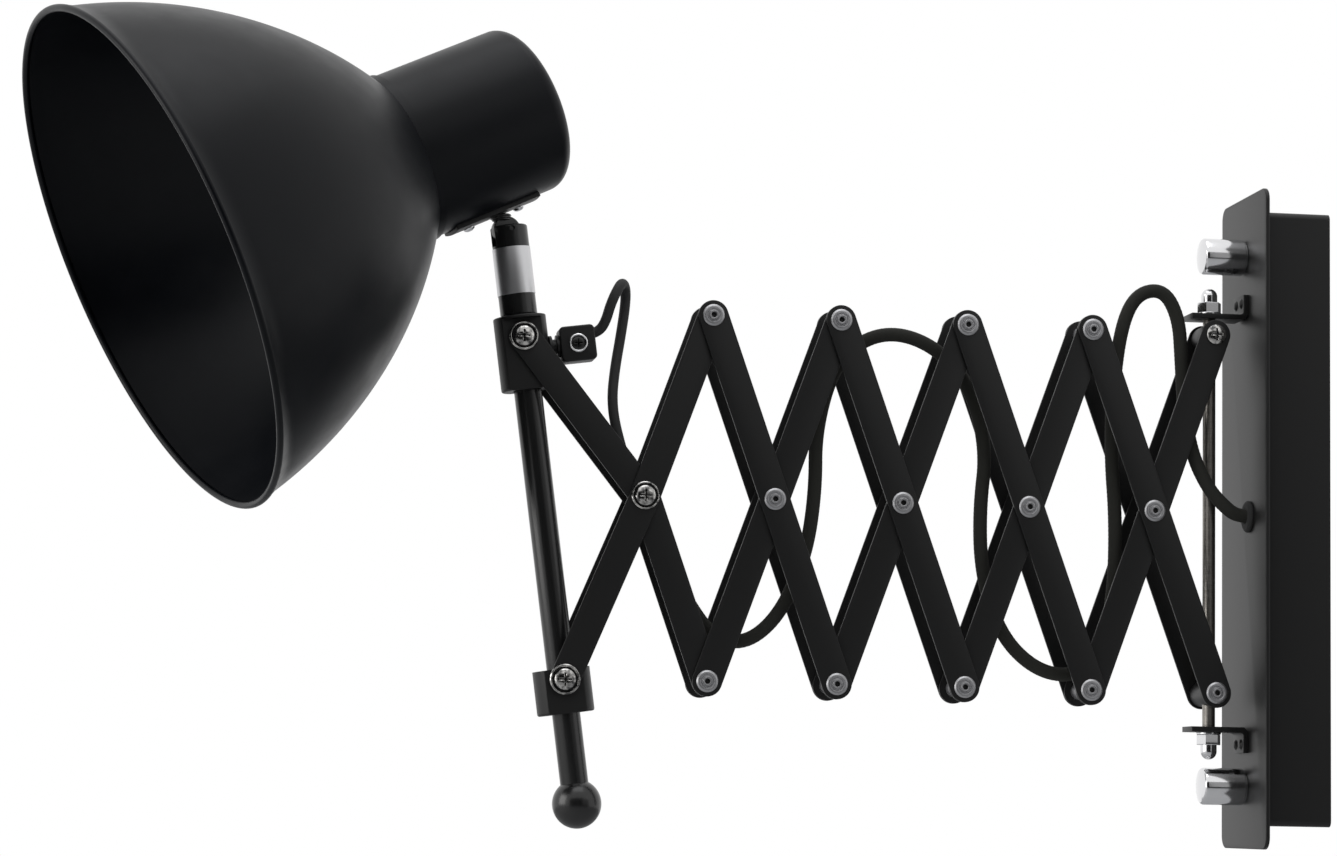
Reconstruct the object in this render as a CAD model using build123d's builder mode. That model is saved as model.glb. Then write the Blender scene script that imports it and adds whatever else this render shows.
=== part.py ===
from build123d import *
import os
from math import atan2, cos, degrees, radians, sin, sqrt, tan

# Accordion (scissor) wall lamp, in millimetres.
# Origin: centre of the wall side of the box. +X points into the wall, the lamp reaches out along -X,
# +Z is up and the front of the lattice faces -Y.

os.makedirs("parts", exist_ok=True)

# ---------------------------------------------------------------- driving dimensions
# lattice
BAR_LENGTH = 180.0          # between the end holes of a bar
BAR_WIDTH = 14.0
BAR_THICKNESS = 1.5
BAR_GAP = 0.1               # between two bars that lie against each other
REACH_ANGLE = 19.6          # a bar's lean from vertical at rest, degrees
RISING_CRANK = 19.0         # bend of the last rising bar at its middle hole, degrees
FALLING_CRANK = 3.0         # the same for the last falling bar
END_ARM = BAR_LENGTH / 2 + 2.5  # middle to end hole on the lamp side of the last unit
LEAST_ANGLE = 10.0          # a bar's lean when the arm is drawn out all the way, degrees
UNITS = 5
MIDDLE_HEIGHT = 2.215       # the lattice's crossings above the middle of the wall part
INNER_FACE = 8.35           # inner face of the innermost bar layer, from the lattice's middle plane
RIVET_RADIUS = 2.5
RIVET_BORE = 1.3
RIVET_HEAD_RADIUS = 5.1
RIVET_HEAD = 1.1
RIVET_BEVEL = 1.4           # sloping edge of a rivet's head
RIVET_RING, RIVET_RING_HEIGHT, RIVET_RING_ROUND = 0.9, 0.5, 0.3
CRIMP_RADIUS, CRIMP_HEIGHT = 4.4, 0.8
HOLE_CLEARANCE = 0.05       # radial, pivot in its hole
SLEEVE_RADIUS = 4.0
SCREW_HEAD = 1.9            # height of a cross-slot head
CROSS_WIDTH, CROSS_DEPTH = 0.9, 1.1
CROSS_REACH = 1.1           # length of the cross slot as a share of the head's radius
THREAD_TIP = 2.0            # radius of the pivot screws' thread
TAP_DEPTH = 5.0

# spindle
SPINDLE_OUT = 17.0          # spindle axis in front of the plate
SPINDLE_RADIUS = 3.0
PIVOT_HEIGHT = MIDDLE_HEIGHT + BAR_LENGTH * cos(radians(REACH_ANGLE)) / 2
TRUNNION_RADIUS, TRUNNION_CHAMFER = 6.0, 0.6
TRUNNION_HEAD_RADIUS = 4.7  # heads of the upper trunnion's screws
TAB_LENGTH, TAB_WIDTH, TAB_THICKNESS, TAB_FOOT, TAB_CORNER = 27.5, 16.0, 2.5, 12.0, 4.0
UPPER_TAB_CLEARANCE, LOWER_TAB_CLEARANCE = 2.2, 1.935
UPPER_TAB_Z = PIVOT_HEIGHT + TRUNNION_RADIUS + UPPER_TAB_CLEARANCE
LOWER_TAB_Z = PIVOT_HEIGHT - BAR_LENGTH * cos(radians(LEAST_ANGLE)) - TRUNNION_RADIUS - LOWER_TAB_CLEARANCE
TAB_RIVET_SPACING, TAB_RIVET_EDGE = 8.0, 4.0
TAB_RIVET_RADIUS, TAB_RIVET_HEAD_RADIUS, TAB_RIVET_HEAD = 1.5, 2.6, 1.1
NUT_ACROSS, NUT_HEIGHT = 10.0, 5.0
DOME_RADIUS, DOME_STRAIGHT = 3.8, 3.0
ROD_END = 1.0               # spindle past the hexagon, inside the dome
WASHER_RADIUS, WASHER_THICKNESS = 5.8, 1.0
WASHER_DISH = 0.7           # seat of a dished washer above the bar
WASHER_RIM, WASHER_RIM_HEIGHT = 2.2, 0.5

# wall part
STUD_RADIUS, STUD_CLEARANCE = 3.0, 0.3
KNOB_SPACING = 27.8         # cap knob beyond the lower tab
STUD_HEIGHT = KNOB_SPACING - LOWER_TAB_Z
KNOB_RADIUS, KNOB_LENGTH, KNOB_STEP = 8.7, 22.0, 1.2
KNOB_CAP, KNOB_ROUND, KNOB_NECK = 5.0, 2.2, 0.7
BOX_MARGIN = 18.25          # box beyond a stud
BOX_WIDTH, BOX_DEPTH, BOX_WALL, BOX_CORNER = 55.5, 31.5, 1.5, 3.0
BOX_HEIGHT = 2 * (STUD_HEIGHT + BOX_MARGIN)
PLATE_BORDER = 10.75        # plate beyond the box, above and below
PLATE_WIDTH, PLATE_THICKNESS, PLATE_CORNER, PLATE_CHAMFER = 69.0, 2.0, 6.0, 0.4
PLATE_HEIGHT = BOX_HEIGHT + 2 * PLATE_BORDER
BRACKET_WIDTH, BRACKET_THICKNESS, BRACKET_CORNER, BRACKET_CLEARANCE = 40.0, 2.0, 4.0, 9.25
BRACKET_HEIGHT = BOX_HEIGHT - 2 * BRACKET_CLEARANCE
WALL_SCREW_MARGIN = 45.0    # wall screw from the bracket's end
WALL_SCREW_SPACING = BRACKET_HEIGHT - 2 * WALL_SCREW_MARGIN
WALL_SCREW_HOLE = 5.0
WALL_SLOT_LENGTH = 12.0
GROMMET_Y, GROMMET_Z = -9.0, 1.0
GROMMET_RADIUS, GROMMET_LIP, GROMMET_EDGE = 7.5, 2.2, 1.8
GROMMET_SLACK, GROMMET_FLANGE, GROMMET_FLANGE_LENGTH = 0.1, 1.2, 1.5
TERMINAL_WIDTH, TERMINAL_HEIGHT, TERMINAL_DEPTH, TERMINAL_CORNER = 30.0, 18.0, 14.0, 1.5
TERMINAL_TOP = -18.0
TERMINAL_PITCH, TERMINAL_ROWS = 9.0, 10.0
TERMINAL_HOLE, TERMINAL_HOLE_DEPTH = 2.0, 3.0

# lamp end
TUBE_RADIUS, TUBE_WALL = 6.5, 1.0
SLIDE_CLEARANCE = 0.05      # radial, tube in its collars and spindle in its bores
UPPER_COLLAR_RADIUS, UPPER_COLLAR_ABOVE, UPPER_COLLAR_BELOW = 12.25, 10.0, 24.5
LOWER_COLLAR_RADIUS, LOWER_COLLAR_ABOVE, LOWER_COLLAR_BELOW = 13.25, 5.0, 15.5
COLLAR_ROUND = 1.4
UPPER_FLAT_EDGE = 1.5       # flat of the upper collar beyond the bar's edge
STEM_RADIUS, STEM_LENGTH, STEM_ROUND, STEM_GAP = 8.6, 42.5, 1.0, 0.2
TUBE_IN_STEM, TUBE_IN_BALL, BALL_CLEARANCE = 14.0, 8.0, 5.0
BAND_HEIGHT, BAND_UP, BAND_THICKNESS = 22.0, 10.0, 0.25
BALL_RADIUS, BALL_DROP = 11.35, 57.0
CLAMP_SIZE, CLAMP_OUT, CLAMP_DOWN, CLAMP_DEPTH, CLAMP_CORNER = 16.5, 25.2, 5.5, 12.8, 2.0
CLAMP_PIN, CLAMP_GRIP = 3.0, 3.0        # pin into collar and block: radius and depth
CLAMP_NECK, CLAMP_RING, CLAMP_RING_LENGTH = 3.4, 5.2, 1.4
CLAMP_SCREW_RADIUS, CLAMP_SCREW_HEAD, CLAMP_SCREW_THREAD, CLAMP_SCREW_LENGTH = 4.4, 1.4, 2.0, 5.0
LEAD_UP = 4.5               # lead above the clamp's middle
TURN = 14.7                 # the lamp's turn toward the front about the tube, degrees
TILT = 18.0                 # the lamp's dip below square to the tube, degrees

# swivel
EYE_RADIUS, EYE_THICKNESS = 6.6, 5.0
PIVOT_BELOW_TOP = 2.0       # tilt pivot below the top of the stem
PIVOT_OUT = 1.5             # tilt pivot outward of the tube's axis
BOLT_RADIUS, BOLT_CLEARANCE = 1.25, 0.03
BOLT_RECESS = 1.0           # bolt's ends inside the stem
EYE_CLEARANCE = 0.6         # slot below the eye
SLOT_CLEARANCE = 0.3        # slot wider than the eye
NECK_RADIUS, NECK_RIBS, NECK_TAPER, NECK_GROOVE = 5.4, 3, 0.5, 0.6
NECK_OVERLAP = 1.6          # ribs into the eye

# lamp head, distances along its axis from the rim of the shade
SHADE_RADIUS, SHADE_WALL, SHADE_DEPTH, SHADE_NECK = 118.5, 1.0, 131.0, 4.0
SHADE_MIDDLE, SHADE_SLOPE = (57.5, 98.8), 30.0
SHADE_FIT = 0.05            # radial, shade on the cup
BEAD_RADIUS, BEAD_OFFSET = 1.7, 0.3
CUP_RADIUS, CUP_WALL, CUP_ROUND, CUP_LENGTH = 39.5, 1.5, 7.0, 75.0
CUP_LAP = 5.0               # cup inside the shade's neck
CUP_START = SHADE_DEPTH - CUP_LAP
CUP_END = CUP_START + CUP_LENGTH
PIVOT_SETBACK, PIVOT_OFF = 38.5, 49.2
PIVOT_ALONG = CUP_START + PIVOT_SETBACK
SADDLE_SETBACK, SADDLE_LENGTH, SADDLE_THICKNESS, SADDLE_WIDTH = 13.0, 45.0, 2.0, 17.0
SADDLE_START = CUP_START + SADDLE_SETBACK
SADDLE_END = SADDLE_START + SADDLE_LENGTH
SADDLE_SCREW_EDGE = 9.0
SADDLE_SCREWS = (SADDLE_START + SADDLE_SCREW_EDGE, SADDLE_END - SADDLE_SCREW_EDGE)
SADDLE_SCREW, SADDLE_SCREW_HEAD_RADIUS, SADDLE_SCREW_HEAD, SADDLE_SCREW_TIP = 1.55, 3.0, 1.6, 2.5
HOLDER_RADIUS, HOLDER_LENGTH, HOLDER_GAP = 19.0, 52.0, 8.0
HOLDER_SHOULDER, HOLDER_TAPER, HOLDER_COLLAR, HOLDER_STEP = 5.0, 6.0, 16.0, 1.2
THREAD_RADIUS, THREAD_WALL, THREAD_DEPTH = 13.25, 0.4, 25.0
CONTACT_RADIUS, CONTACT_DEPTH = 7.0, 3.0
THREAD_SETBACK = 1.0
SHADE_RING_RADIUS, SHADE_RING_LENGTH, SHADE_RING_START = 23.0, 7.0, 4.0
NIPPLE_RADIUS, NIPPLE_WALL, NIPPLE_NUT_RADIUS, NIPPLE_GRIP = 5.0, 1.2, 8.5, 6.0

# cord
LEAD_DIAMETER, FLEX_DIAMETER = 4.8, 6.5
CORD_CLEARANCE = 0.03       # radial, flex in its grommet
JOINT_DIAMETER, JOINT_LENGTH = 7.8, 12.0
STRAIGHT_LEAD, STRAIGHT_FLEX = 6.0, 11.0    # cord that leaves the clamp and the joint straight
WALL_RUN_OUT, WALL_RUN_IN = 5.7, 11.5       # straight run through the grommet, from the plate's face
TERMINAL_ENTRY = 12.0                       # flex from the wall at the terminal block
ENTRY_BEND = -9.0

# ---------------------------------------------------------------- worked-out places
PITCH = BAR_LENGTH * sin(radians(REACH_ANGLE))
DROP = BAR_LENGTH * cos(radians(REACH_ANGLE))
PLATE_FACE = -(BOX_DEPTH + PLATE_THICKNESS)
SPINDLE_X = PLATE_FACE - SPINDLE_OUT

# bar layers, distance of each inner face from the middle plane
LAYER = BAR_THICKNESS + BAR_GAP
LAST_RISING = INNER_FACE
FALLING = INNER_FACE + LAYER
RISING = INNER_FACE + 2 * LAYER
LAST_RISING_OUT = LAST_RISING + BAR_THICKNESS
FALLING_OUT = FALLING + BAR_THICKNESS
RISING_OUT = RISING + BAR_THICKNESS


def top_pivot(i):
    """Upper pivot i, 0 at the spindle."""
    return (SPINDLE_X - i * PITCH, PIVOT_HEIGHT)


def bottom_pivot(i):
    """Lower pivot i, 0 at the spindle."""
    return (SPINDLE_X - i * PITCH, PIVOT_HEIGHT - DROP)


def middle_pivot(i):
    """Crossing i of the bars, from 1."""
    return (SPINDLE_X - (i - 0.5) * PITCH, MIDDLE_HEIGHT)


last_middle = middle_pivot(UNITS)
LAMP_TOP = (
    last_middle[0] - END_ARM * sin(radians(REACH_ANGLE + RISING_CRANK)),
    last_middle[1] + END_ARM * cos(radians(REACH_ANGLE + RISING_CRANK)),
)
LAMP_BOTTOM = (
    last_middle[0] - END_ARM * sin(radians(REACH_ANGLE + FALLING_CRANK)),
    last_middle[1] - END_ARM * cos(radians(REACH_ANGLE + FALLING_CRANK)),
)

# the lamp's tube leans by half the difference of the cranks, whatever the reach
LEAN = radians(RISING_CRANK - FALLING_CRANK) / 2
tube_up = Vector(-sin(LEAN), 0, cos(LEAN))
tube_in = Vector(cos(LEAN), 0, sin(LEAN))
upper_hinge = Vector(LAMP_TOP[0], 0, LAMP_TOP[1])
lower_hinge = Vector(LAMP_BOTTOM[0], 0, LAMP_BOTTOM[1])
stem_foot = upper_hinge + tube_up * (UPPER_COLLAR_ABOVE + STEM_GAP)
stem_top = stem_foot + tube_up * STEM_LENGTH
ball_centre = lower_hinge - tube_up * BALL_DROP

# the head's own directions: outward, its axis from rim to cup, its upper side and its tilt axis
tilt_axis = Vector(0, 1, 0).rotate(Axis((0, 0, 0), tube_up), TURN)
outward = tilt_axis.cross(tube_up) * -1
head_back = outward * -cos(radians(TILT)) + tube_up * sin(radians(TILT))
head_up = outward * sin(radians(TILT)) + tube_up * cos(radians(TILT))
tilt_pivot = stem_top - tube_up * PIVOT_BELOW_TOP + outward * PIVOT_OUT
rim_centre = tilt_pivot + head_up * PIVOT_OFF - head_back * PIVOT_ALONG

HEAD_PLANE = Plane(origin=rim_centre, x_dir=head_up, z_dir=head_back)
TILT_PLANE = Plane(origin=tilt_pivot, x_dir=tube_up, z_dir=tilt_axis)

FRONT, BACK, UP, OUT = Vector(0, -1, 0), Vector(0, 1, 0), Vector(0, 0, 1), Vector(-1, 0, 0)


# ---------------------------------------------------------------- shared operations
def lathe(profile, origin, along, across, mode=Mode.ADD):
    """Turn a closed profile of (distance along, radius) points about the line from origin."""
    with BuildSketch(Plane(origin=origin, x_dir=along, z_dir=along.cross(across))) as outline:
        with BuildLine():
            Polyline(*profile, close=True)
        make_face()
    revolve(outline.sketch, axis=Axis(origin, along), mode=mode)


def tube_profile(start, end, outer, inner=0.0):
    """A plain tube's or rod's profile."""
    return [(start, inner), (end, inner), (end, outer), (start, outer)]


def bar_outline(holes):
    """Rounded bar through its holes, on the XZ plane."""
    with BuildSketch(Plane.XZ) as outline:
        for (x1, z1), (x2, z2) in zip(holes, holes[1:]):
            lean = degrees(atan2(z2 - z1, x2 - x1))
            with Locations(((x1 + x2) / 2, (z1 + z2) / 2)):
                SlotCenterToCenter(sqrt((x2 - x1) ** 2 + (z2 - z1) ** 2), BAR_WIDTH, rotation=lean)
        with Locations(*holes):
            Circle(RIVET_RADIUS + HOLE_CLEARANCE, mode=Mode.SUBTRACT)
    return outline.sketch


def bar_pair(holes, inner):
    """The front and the rear copy of one bar."""
    with BuildPart() as bars:
        for side in (1, -1):
            face = bar_outline(holes).moved(Location((0, -side * inner, 0)))
            extrude(face, amount=side * BAR_THICKNESS)
    return bars.part


def head_steps(face):
    """Outer end of a hollow rivet whose head sits on a bar face: a wide flange and a raised ring."""
    return [
        (face, RIVET_HEAD_RADIUS),
        (face + RIVET_HEAD * 0.6, RIVET_HEAD_RADIUS),
        (face + RIVET_HEAD, RIVET_HEAD_RADIUS - RIVET_BEVEL),
        (face + RIVET_HEAD, RIVET_BORE + RIVET_RING),
        (face + RIVET_HEAD + RIVET_RING_HEIGHT, RIVET_BORE + RIVET_RING - RIVET_RING_ROUND),
        (face + RIVET_HEAD + RIVET_RING_HEIGHT, RIVET_BORE),
    ]


def long_rivet(place, inner, outer):
    """Hollow rivet through both lattices, with the spacer sleeve between their inner bars."""
    centre = Vector(place[0], 0, place[1])
    rising = head_steps(outer)
    profile = rising + [(-s, r) for s, r in reversed(rising)]
    shank = [(-outer, RIVET_RADIUS), (outer, RIVET_RADIUS)]
    lathe(profile + shank, centre, FRONT, UP)
    sleeve = inner - HOLE_CLEARANCE
    lathe(tube_profile(-sleeve, sleeve, SLEEVE_RADIUS, RIVET_RADIUS + HOLE_CLEARANCE), centre, FRONT, UP)


def short_rivets(place, inner, outer):
    """Hollow rivet through the two bars of each lattice."""
    centre = Vector(place[0], 0, place[1])
    shank = [(outer, RIVET_RADIUS), (inner, RIVET_RADIUS)]
    flange = [(inner, CRIMP_RADIUS), (inner - CRIMP_HEIGHT, CRIMP_RADIUS), (inner - CRIMP_HEIGHT, RIVET_BORE)]
    for direction in (FRONT, BACK):
        lathe(head_steps(outer)[::-1] + shank + flange, centre, direction, UP)


def round_head(seat, radius):
    """Half profile of a round screw head from its edge to its middle."""
    return [
        (seat, radius),
        (seat + SCREW_HEAD * 0.47, radius * 0.9),
        (seat + SCREW_HEAD * 0.84, radius * 0.55),
        (seat + SCREW_HEAD, 0),
    ]


def cross_slot(centre, direction, top, head_radius):
    """Cut the cross out of a screw head."""
    with BuildSketch(Plane(origin=centre + direction * top, x_dir=(1, 0, 0), z_dir=direction)) as cross:
        Rectangle(head_radius * CROSS_REACH, CROSS_WIDTH)
        Rectangle(CROSS_WIDTH, head_radius * CROSS_REACH)
    extrude(cross.sketch, amount=-CROSS_DEPTH, mode=Mode.SUBTRACT)


def cross_screws(place, seat, tip, shank_radius, head_radius):
    """Round-headed cross-slot screws from the front and from the rear."""
    centre = Vector(place[0], 0, place[1])
    for direction in (FRONT, BACK):
        shank = [(tip, 0), (tip, shank_radius), (seat, shank_radius)]
        lathe(shank + round_head(seat, head_radius), centre, direction, UP)
        cross_slot(centre, direction, seat + SCREW_HEAD, head_radius)


def cup_washers(place, seat, bore, radius):
    """Dished ring under each screw head."""
    centre = Vector(place[0], 0, place[1])
    for direction in (FRONT, BACK):
        ring = [
            (seat, bore),
            (seat + WASHER_DISH, bore),
            (seat + WASHER_DISH, radius - WASHER_RIM),
            (seat + WASHER_DISH + WASHER_RIM_HEIGHT, radius - WASHER_RIM * 0.55),
            (seat + WASHER_DISH, radius - WASHER_RIM * 0.14),
            (seat, radius),
        ]
        lathe(ring, centre, direction, UP)


def save(part, name):
    """Label a finished piece and write it."""
    part.label = name
    export_step(part, f"parts/{name}.step")


def save_set(name, *builders):
    """Write several kinds of small hardware as one node of separate solids."""
    save(Compound([solid for builder in builders for solid in builder.part.solids()]), name)


# ---------------------------------------------------------------- wall part
with BuildPart() as wall_box:
    with BuildSketch(Plane.YZ):
        Rectangle(BOX_WIDTH, BOX_HEIGHT)
    extrude(amount=-BOX_DEPTH)
    fillet(wall_box.edges().filter_by(Axis.X), BOX_CORNER)
    with BuildSketch(Plane.YZ):
        RectangleRounded(BOX_WIDTH - 2 * BOX_WALL, BOX_HEIGHT - 2 * BOX_WALL, BOX_CORNER - BOX_WALL)
    extrude(amount=-(BOX_DEPTH - BOX_WALL), mode=Mode.SUBTRACT)
    with BuildSketch(Plane.YZ):
        with Locations((0, STUD_HEIGHT), (0, -STUD_HEIGHT)):
            Circle(STUD_RADIUS + STUD_CLEARANCE)
        with Locations((GROMMET_Y, GROMMET_Z)):
            Circle(GROMMET_RADIUS - GROMMET_EDGE)
    extrude(amount=-BOX_DEPTH, mode=Mode.SUBTRACT)
save(wall_box.part, "wall_box")

with BuildPart() as wall_plate:
    with BuildSketch(Plane.YZ.offset(-BOX_DEPTH)):
        RectangleRounded(PLATE_WIDTH, PLATE_HEIGHT, PLATE_CORNER)
        with Locations((0, STUD_HEIGHT), (0, -STUD_HEIGHT)):
            Circle(STUD_RADIUS + STUD_CLEARANCE, mode=Mode.SUBTRACT)
        with Locations((GROMMET_Y, GROMMET_Z)):
            Circle(GROMMET_RADIUS - GROMMET_EDGE, mode=Mode.SUBTRACT)
    extrude(amount=-PLATE_THICKNESS)
    chamfer(wall_plate.faces().sort_by(Axis.X)[0].outer_wire().edges(), PLATE_CHAMFER)
save(wall_plate.part, "wall_plate")

with BuildPart() as wall_bracket:
    with BuildSketch(Plane.YZ):
        RectangleRounded(BRACKET_WIDTH, BRACKET_HEIGHT, BRACKET_CORNER)
        with Locations((0, WALL_SCREW_SPACING / 2), (0, -WALL_SCREW_SPACING / 2)):
            SlotOverall(WALL_SLOT_LENGTH, WALL_SCREW_HOLE, rotation=90, mode=Mode.SUBTRACT)
        with Locations((0, STUD_HEIGHT), (0, -STUD_HEIGHT)):
            Circle(STUD_RADIUS, mode=Mode.SUBTRACT)
    extrude(amount=-BRACKET_THICKNESS)
save(wall_bracket.part, "wall_bracket")

with BuildPart() as bracket_studs:
    for height in (STUD_HEIGHT, -STUD_HEIGHT):
        lathe(
            tube_profile(0, -PLATE_FACE + KNOB_LENGTH - KNOB_CAP, STUD_RADIUS),
            Vector(0, 0, height), OUT, UP,
        )
save(bracket_studs.part, "bracket_studs")

with BuildPart() as bracket_nuts:
    for height in (STUD_HEIGHT, -STUD_HEIGHT):
        with BuildSketch(Plane.YZ.offset(-BRACKET_THICKNESS)) as nut:
            with Locations((0, height)):
                RegularPolygon(NUT_ACROSS / 2, 6, major_radius=False)
                Circle(STUD_RADIUS, mode=Mode.SUBTRACT)
        extrude(nut.sketch, amount=-NUT_HEIGHT)
save(bracket_nuts.part, "bracket_nuts")

with BuildPart() as cap_knobs:
    bore = KNOB_LENGTH - KNOB_CAP
    for height in (STUD_HEIGHT, -STUD_HEIGHT):
        profile = [
            (0, STUD_RADIUS),
            (bore, STUD_RADIUS),
            (bore, 0),
            (KNOB_LENGTH, 0),
            (KNOB_LENGTH - KNOB_ROUND * 0.23, KNOB_RADIUS * 0.55),
            (KNOB_LENGTH - KNOB_ROUND * 0.64, KNOB_RADIUS - KNOB_ROUND * 0.36),
            (KNOB_LENGTH - KNOB_ROUND, KNOB_RADIUS),
            (KNOB_STEP, KNOB_RADIUS),
            (KNOB_STEP, KNOB_RADIUS - KNOB_NECK),
            (0, KNOB_RADIUS - KNOB_NECK),
        ]
        lathe(profile, Vector(PLATE_FACE, 0, height), OUT, UP)
save(cap_knobs.part, "cap_knobs")


def spindle_tab(height, foot_up):
    """Bent sheet tab on the plate with the spindle's hole; its foot lies on the plate."""
    with BuildPart() as tab:
        with BuildSketch(Plane.XY.offset(height)):
            with Locations((PLATE_FACE - TAB_LENGTH / 2, 0)):
                Rectangle(TAB_LENGTH, TAB_WIDTH)
            with Locations((SPINDLE_X, 0)):
                Circle(SPINDLE_RADIUS + SLIDE_CLEARANCE, mode=Mode.SUBTRACT)
        extrude(amount=TAB_THICKNESS)
        tips = tab.edges().filter_by(Axis.Z).group_by(Axis.X)[0]
        fillet(tips, TAB_CORNER)
        foot_middle = height + (TAB_FOOT / 2 if foot_up else TAB_THICKNESS - TAB_FOOT / 2)
        with BuildSketch(Plane.YZ.offset(PLATE_FACE)):
            with Locations((0, foot_middle)):
                Rectangle(TAB_WIDTH, TAB_FOOT)
        extrude(amount=-TAB_THICKNESS)
        bolt = tab_bolt_height(height, foot_up)
        with BuildSketch(Plane.YZ.offset(PLATE_FACE)):
            with Locations((-TAB_RIVET_SPACING / 2, bolt), (TAB_RIVET_SPACING / 2, bolt)):
                Circle(TAB_RIVET_RADIUS)
        extrude(amount=-TAB_THICKNESS, mode=Mode.SUBTRACT)
    return tab.part


def tab_bolt_height(height, foot_up):
    """Height of the rivets in a tab's foot."""
    along = TAB_FOOT - TAB_RIVET_EDGE
    return height + (along if foot_up else TAB_THICKNESS - along)


save(spindle_tab(UPPER_TAB_Z, True), "upper_tab")
save(spindle_tab(LOWER_TAB_Z - TAB_THICKNESS, False), "lower_tab")

with BuildPart() as tab_rivets:
    for height, foot_up in ((UPPER_TAB_Z, True), (LOWER_TAB_Z - TAB_THICKNESS, False)):
        for side in (-TAB_RIVET_SPACING / 2, TAB_RIVET_SPACING / 2):
            lathe(
                [
                    (0, 0),
                    (TAB_THICKNESS + TAB_RIVET_HEAD, 0),
                    (TAB_THICKNESS + TAB_RIVET_HEAD * 0.64, TAB_RIVET_HEAD_RADIUS * 0.62),
                    (TAB_THICKNESS, TAB_RIVET_HEAD_RADIUS),
                    (TAB_THICKNESS, TAB_RIVET_RADIUS - HOLE_CLEARANCE),
                    (0, TAB_RIVET_RADIUS - HOLE_CLEARANCE),
                ],
                Vector(PLATE_FACE, side, tab_bolt_height(height, foot_up)), OUT, UP,
            )
save(tab_rivets.part, "tab_rivets")

with BuildPart() as cord_grommet:
    hole = GROMMET_RADIUS - GROMMET_EDGE - GROMMET_SLACK
    bore = FLEX_DIAMETER / 2 + CORD_CLEARANCE
    through = PLATE_THICKNESS + BOX_WALL
    lathe(
        [
            (-GROMMET_LIP, bore),
            (through + GROMMET_FLANGE_LENGTH, bore),
            (through + GROMMET_FLANGE_LENGTH, hole + GROMMET_FLANGE),
            (through, hole + GROMMET_FLANGE),
            (through, hole),
            (0, hole),
            (0, GROMMET_RADIUS),
            (-GROMMET_LIP * 0.6, GROMMET_RADIUS),
            (-GROMMET_LIP, GROMMET_RADIUS - GROMMET_LIP * 0.55),
        ],
        Vector(PLATE_FACE, GROMMET_Y, GROMMET_Z), Vector(1, 0, 0), UP,
    )
save(cord_grommet.part, "cord_grommet")

with BuildPart() as terminal_block:
    with BuildSketch(Plane.YZ.offset(-BRACKET_THICKNESS)):
        with Locations((GROMMET_Y, TERMINAL_TOP - TERMINAL_HEIGHT / 2)):
            RectangleRounded(TERMINAL_WIDTH, TERMINAL_HEIGHT, TERMINAL_CORNER)
    extrude(amount=-TERMINAL_DEPTH)
    with BuildSketch(Plane.YZ.offset(-BRACKET_THICKNESS - TERMINAL_DEPTH)):
        with GridLocations(TERMINAL_PITCH, TERMINAL_ROWS, 3, 2):
            with Locations((GROMMET_Y, TERMINAL_TOP - TERMINAL_HEIGHT / 2)):
                Circle(TERMINAL_HOLE)
    extrude(amount=TERMINAL_HOLE_DEPTH, mode=Mode.SUBTRACT)
save(terminal_block.part, "terminal_block")

# ---------------------------------------------------------------- spindle
spindle_axis = Vector(SPINDLE_X, 0, 0)
ROD_TOP = UPPER_TAB_Z + TAB_THICKNESS + WASHER_THICKNESS + NUT_HEIGHT + ROD_END
ROD_BOTTOM = LOWER_TAB_Z - TAB_THICKNESS - WASHER_THICKNESS - NUT_HEIGHT - ROD_END

with BuildPart() as spindle_rod:
    lathe(tube_profile(ROD_BOTTOM, ROD_TOP, SPINDLE_RADIUS), spindle_axis, UP, OUT)
save(spindle_rod.part, "spindle_rod")

nut_seats = (
    (Vector(SPINDLE_X, 0, UPPER_TAB_Z + TAB_THICKNESS), UP),
    (Vector(SPINDLE_X, 0, LOWER_TAB_Z - TAB_THICKNESS), -UP),
)
with BuildPart() as spindle_washers:
    for seat, direction in nut_seats:
        lathe(tube_profile(0, WASHER_THICKNESS, WASHER_RADIUS, SPINDLE_RADIUS), seat, direction, OUT)

with BuildPart() as acorn_nuts:
    for seat, direction in nut_seats:
        nut_foot = seat + direction * WASHER_THICKNESS
        with BuildSketch(Plane(origin=nut_foot, x_dir=(1, 0, 0), z_dir=direction)) as nut:
            RegularPolygon(NUT_ACROSS / 2, 6, major_radius=False)
        extrude(nut.sketch, amount=NUT_HEIGHT)
        dome_start = NUT_HEIGHT + DOME_STRAIGHT
        dome = [
            (NUT_HEIGHT - ROD_END, 0),
            (dome_start + DOME_RADIUS, 0),
            (dome_start + DOME_RADIUS * 0.92, DOME_RADIUS * 0.38),
            (dome_start + DOME_RADIUS * 0.7, DOME_RADIUS * 0.71),
            (dome_start + DOME_RADIUS * 0.35, DOME_RADIUS * 0.94),
            (dome_start, DOME_RADIUS),
            (NUT_HEIGHT - ROD_END, DOME_RADIUS),
        ]
        lathe(dome, nut_foot, direction, OUT)
        lathe(tube_profile(0, NUT_HEIGHT + ROD_END, SPINDLE_RADIUS), nut_foot, direction, OUT,
              mode=Mode.SUBTRACT)
save_set("spindle_nuts", spindle_washers, acorn_nuts)


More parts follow.
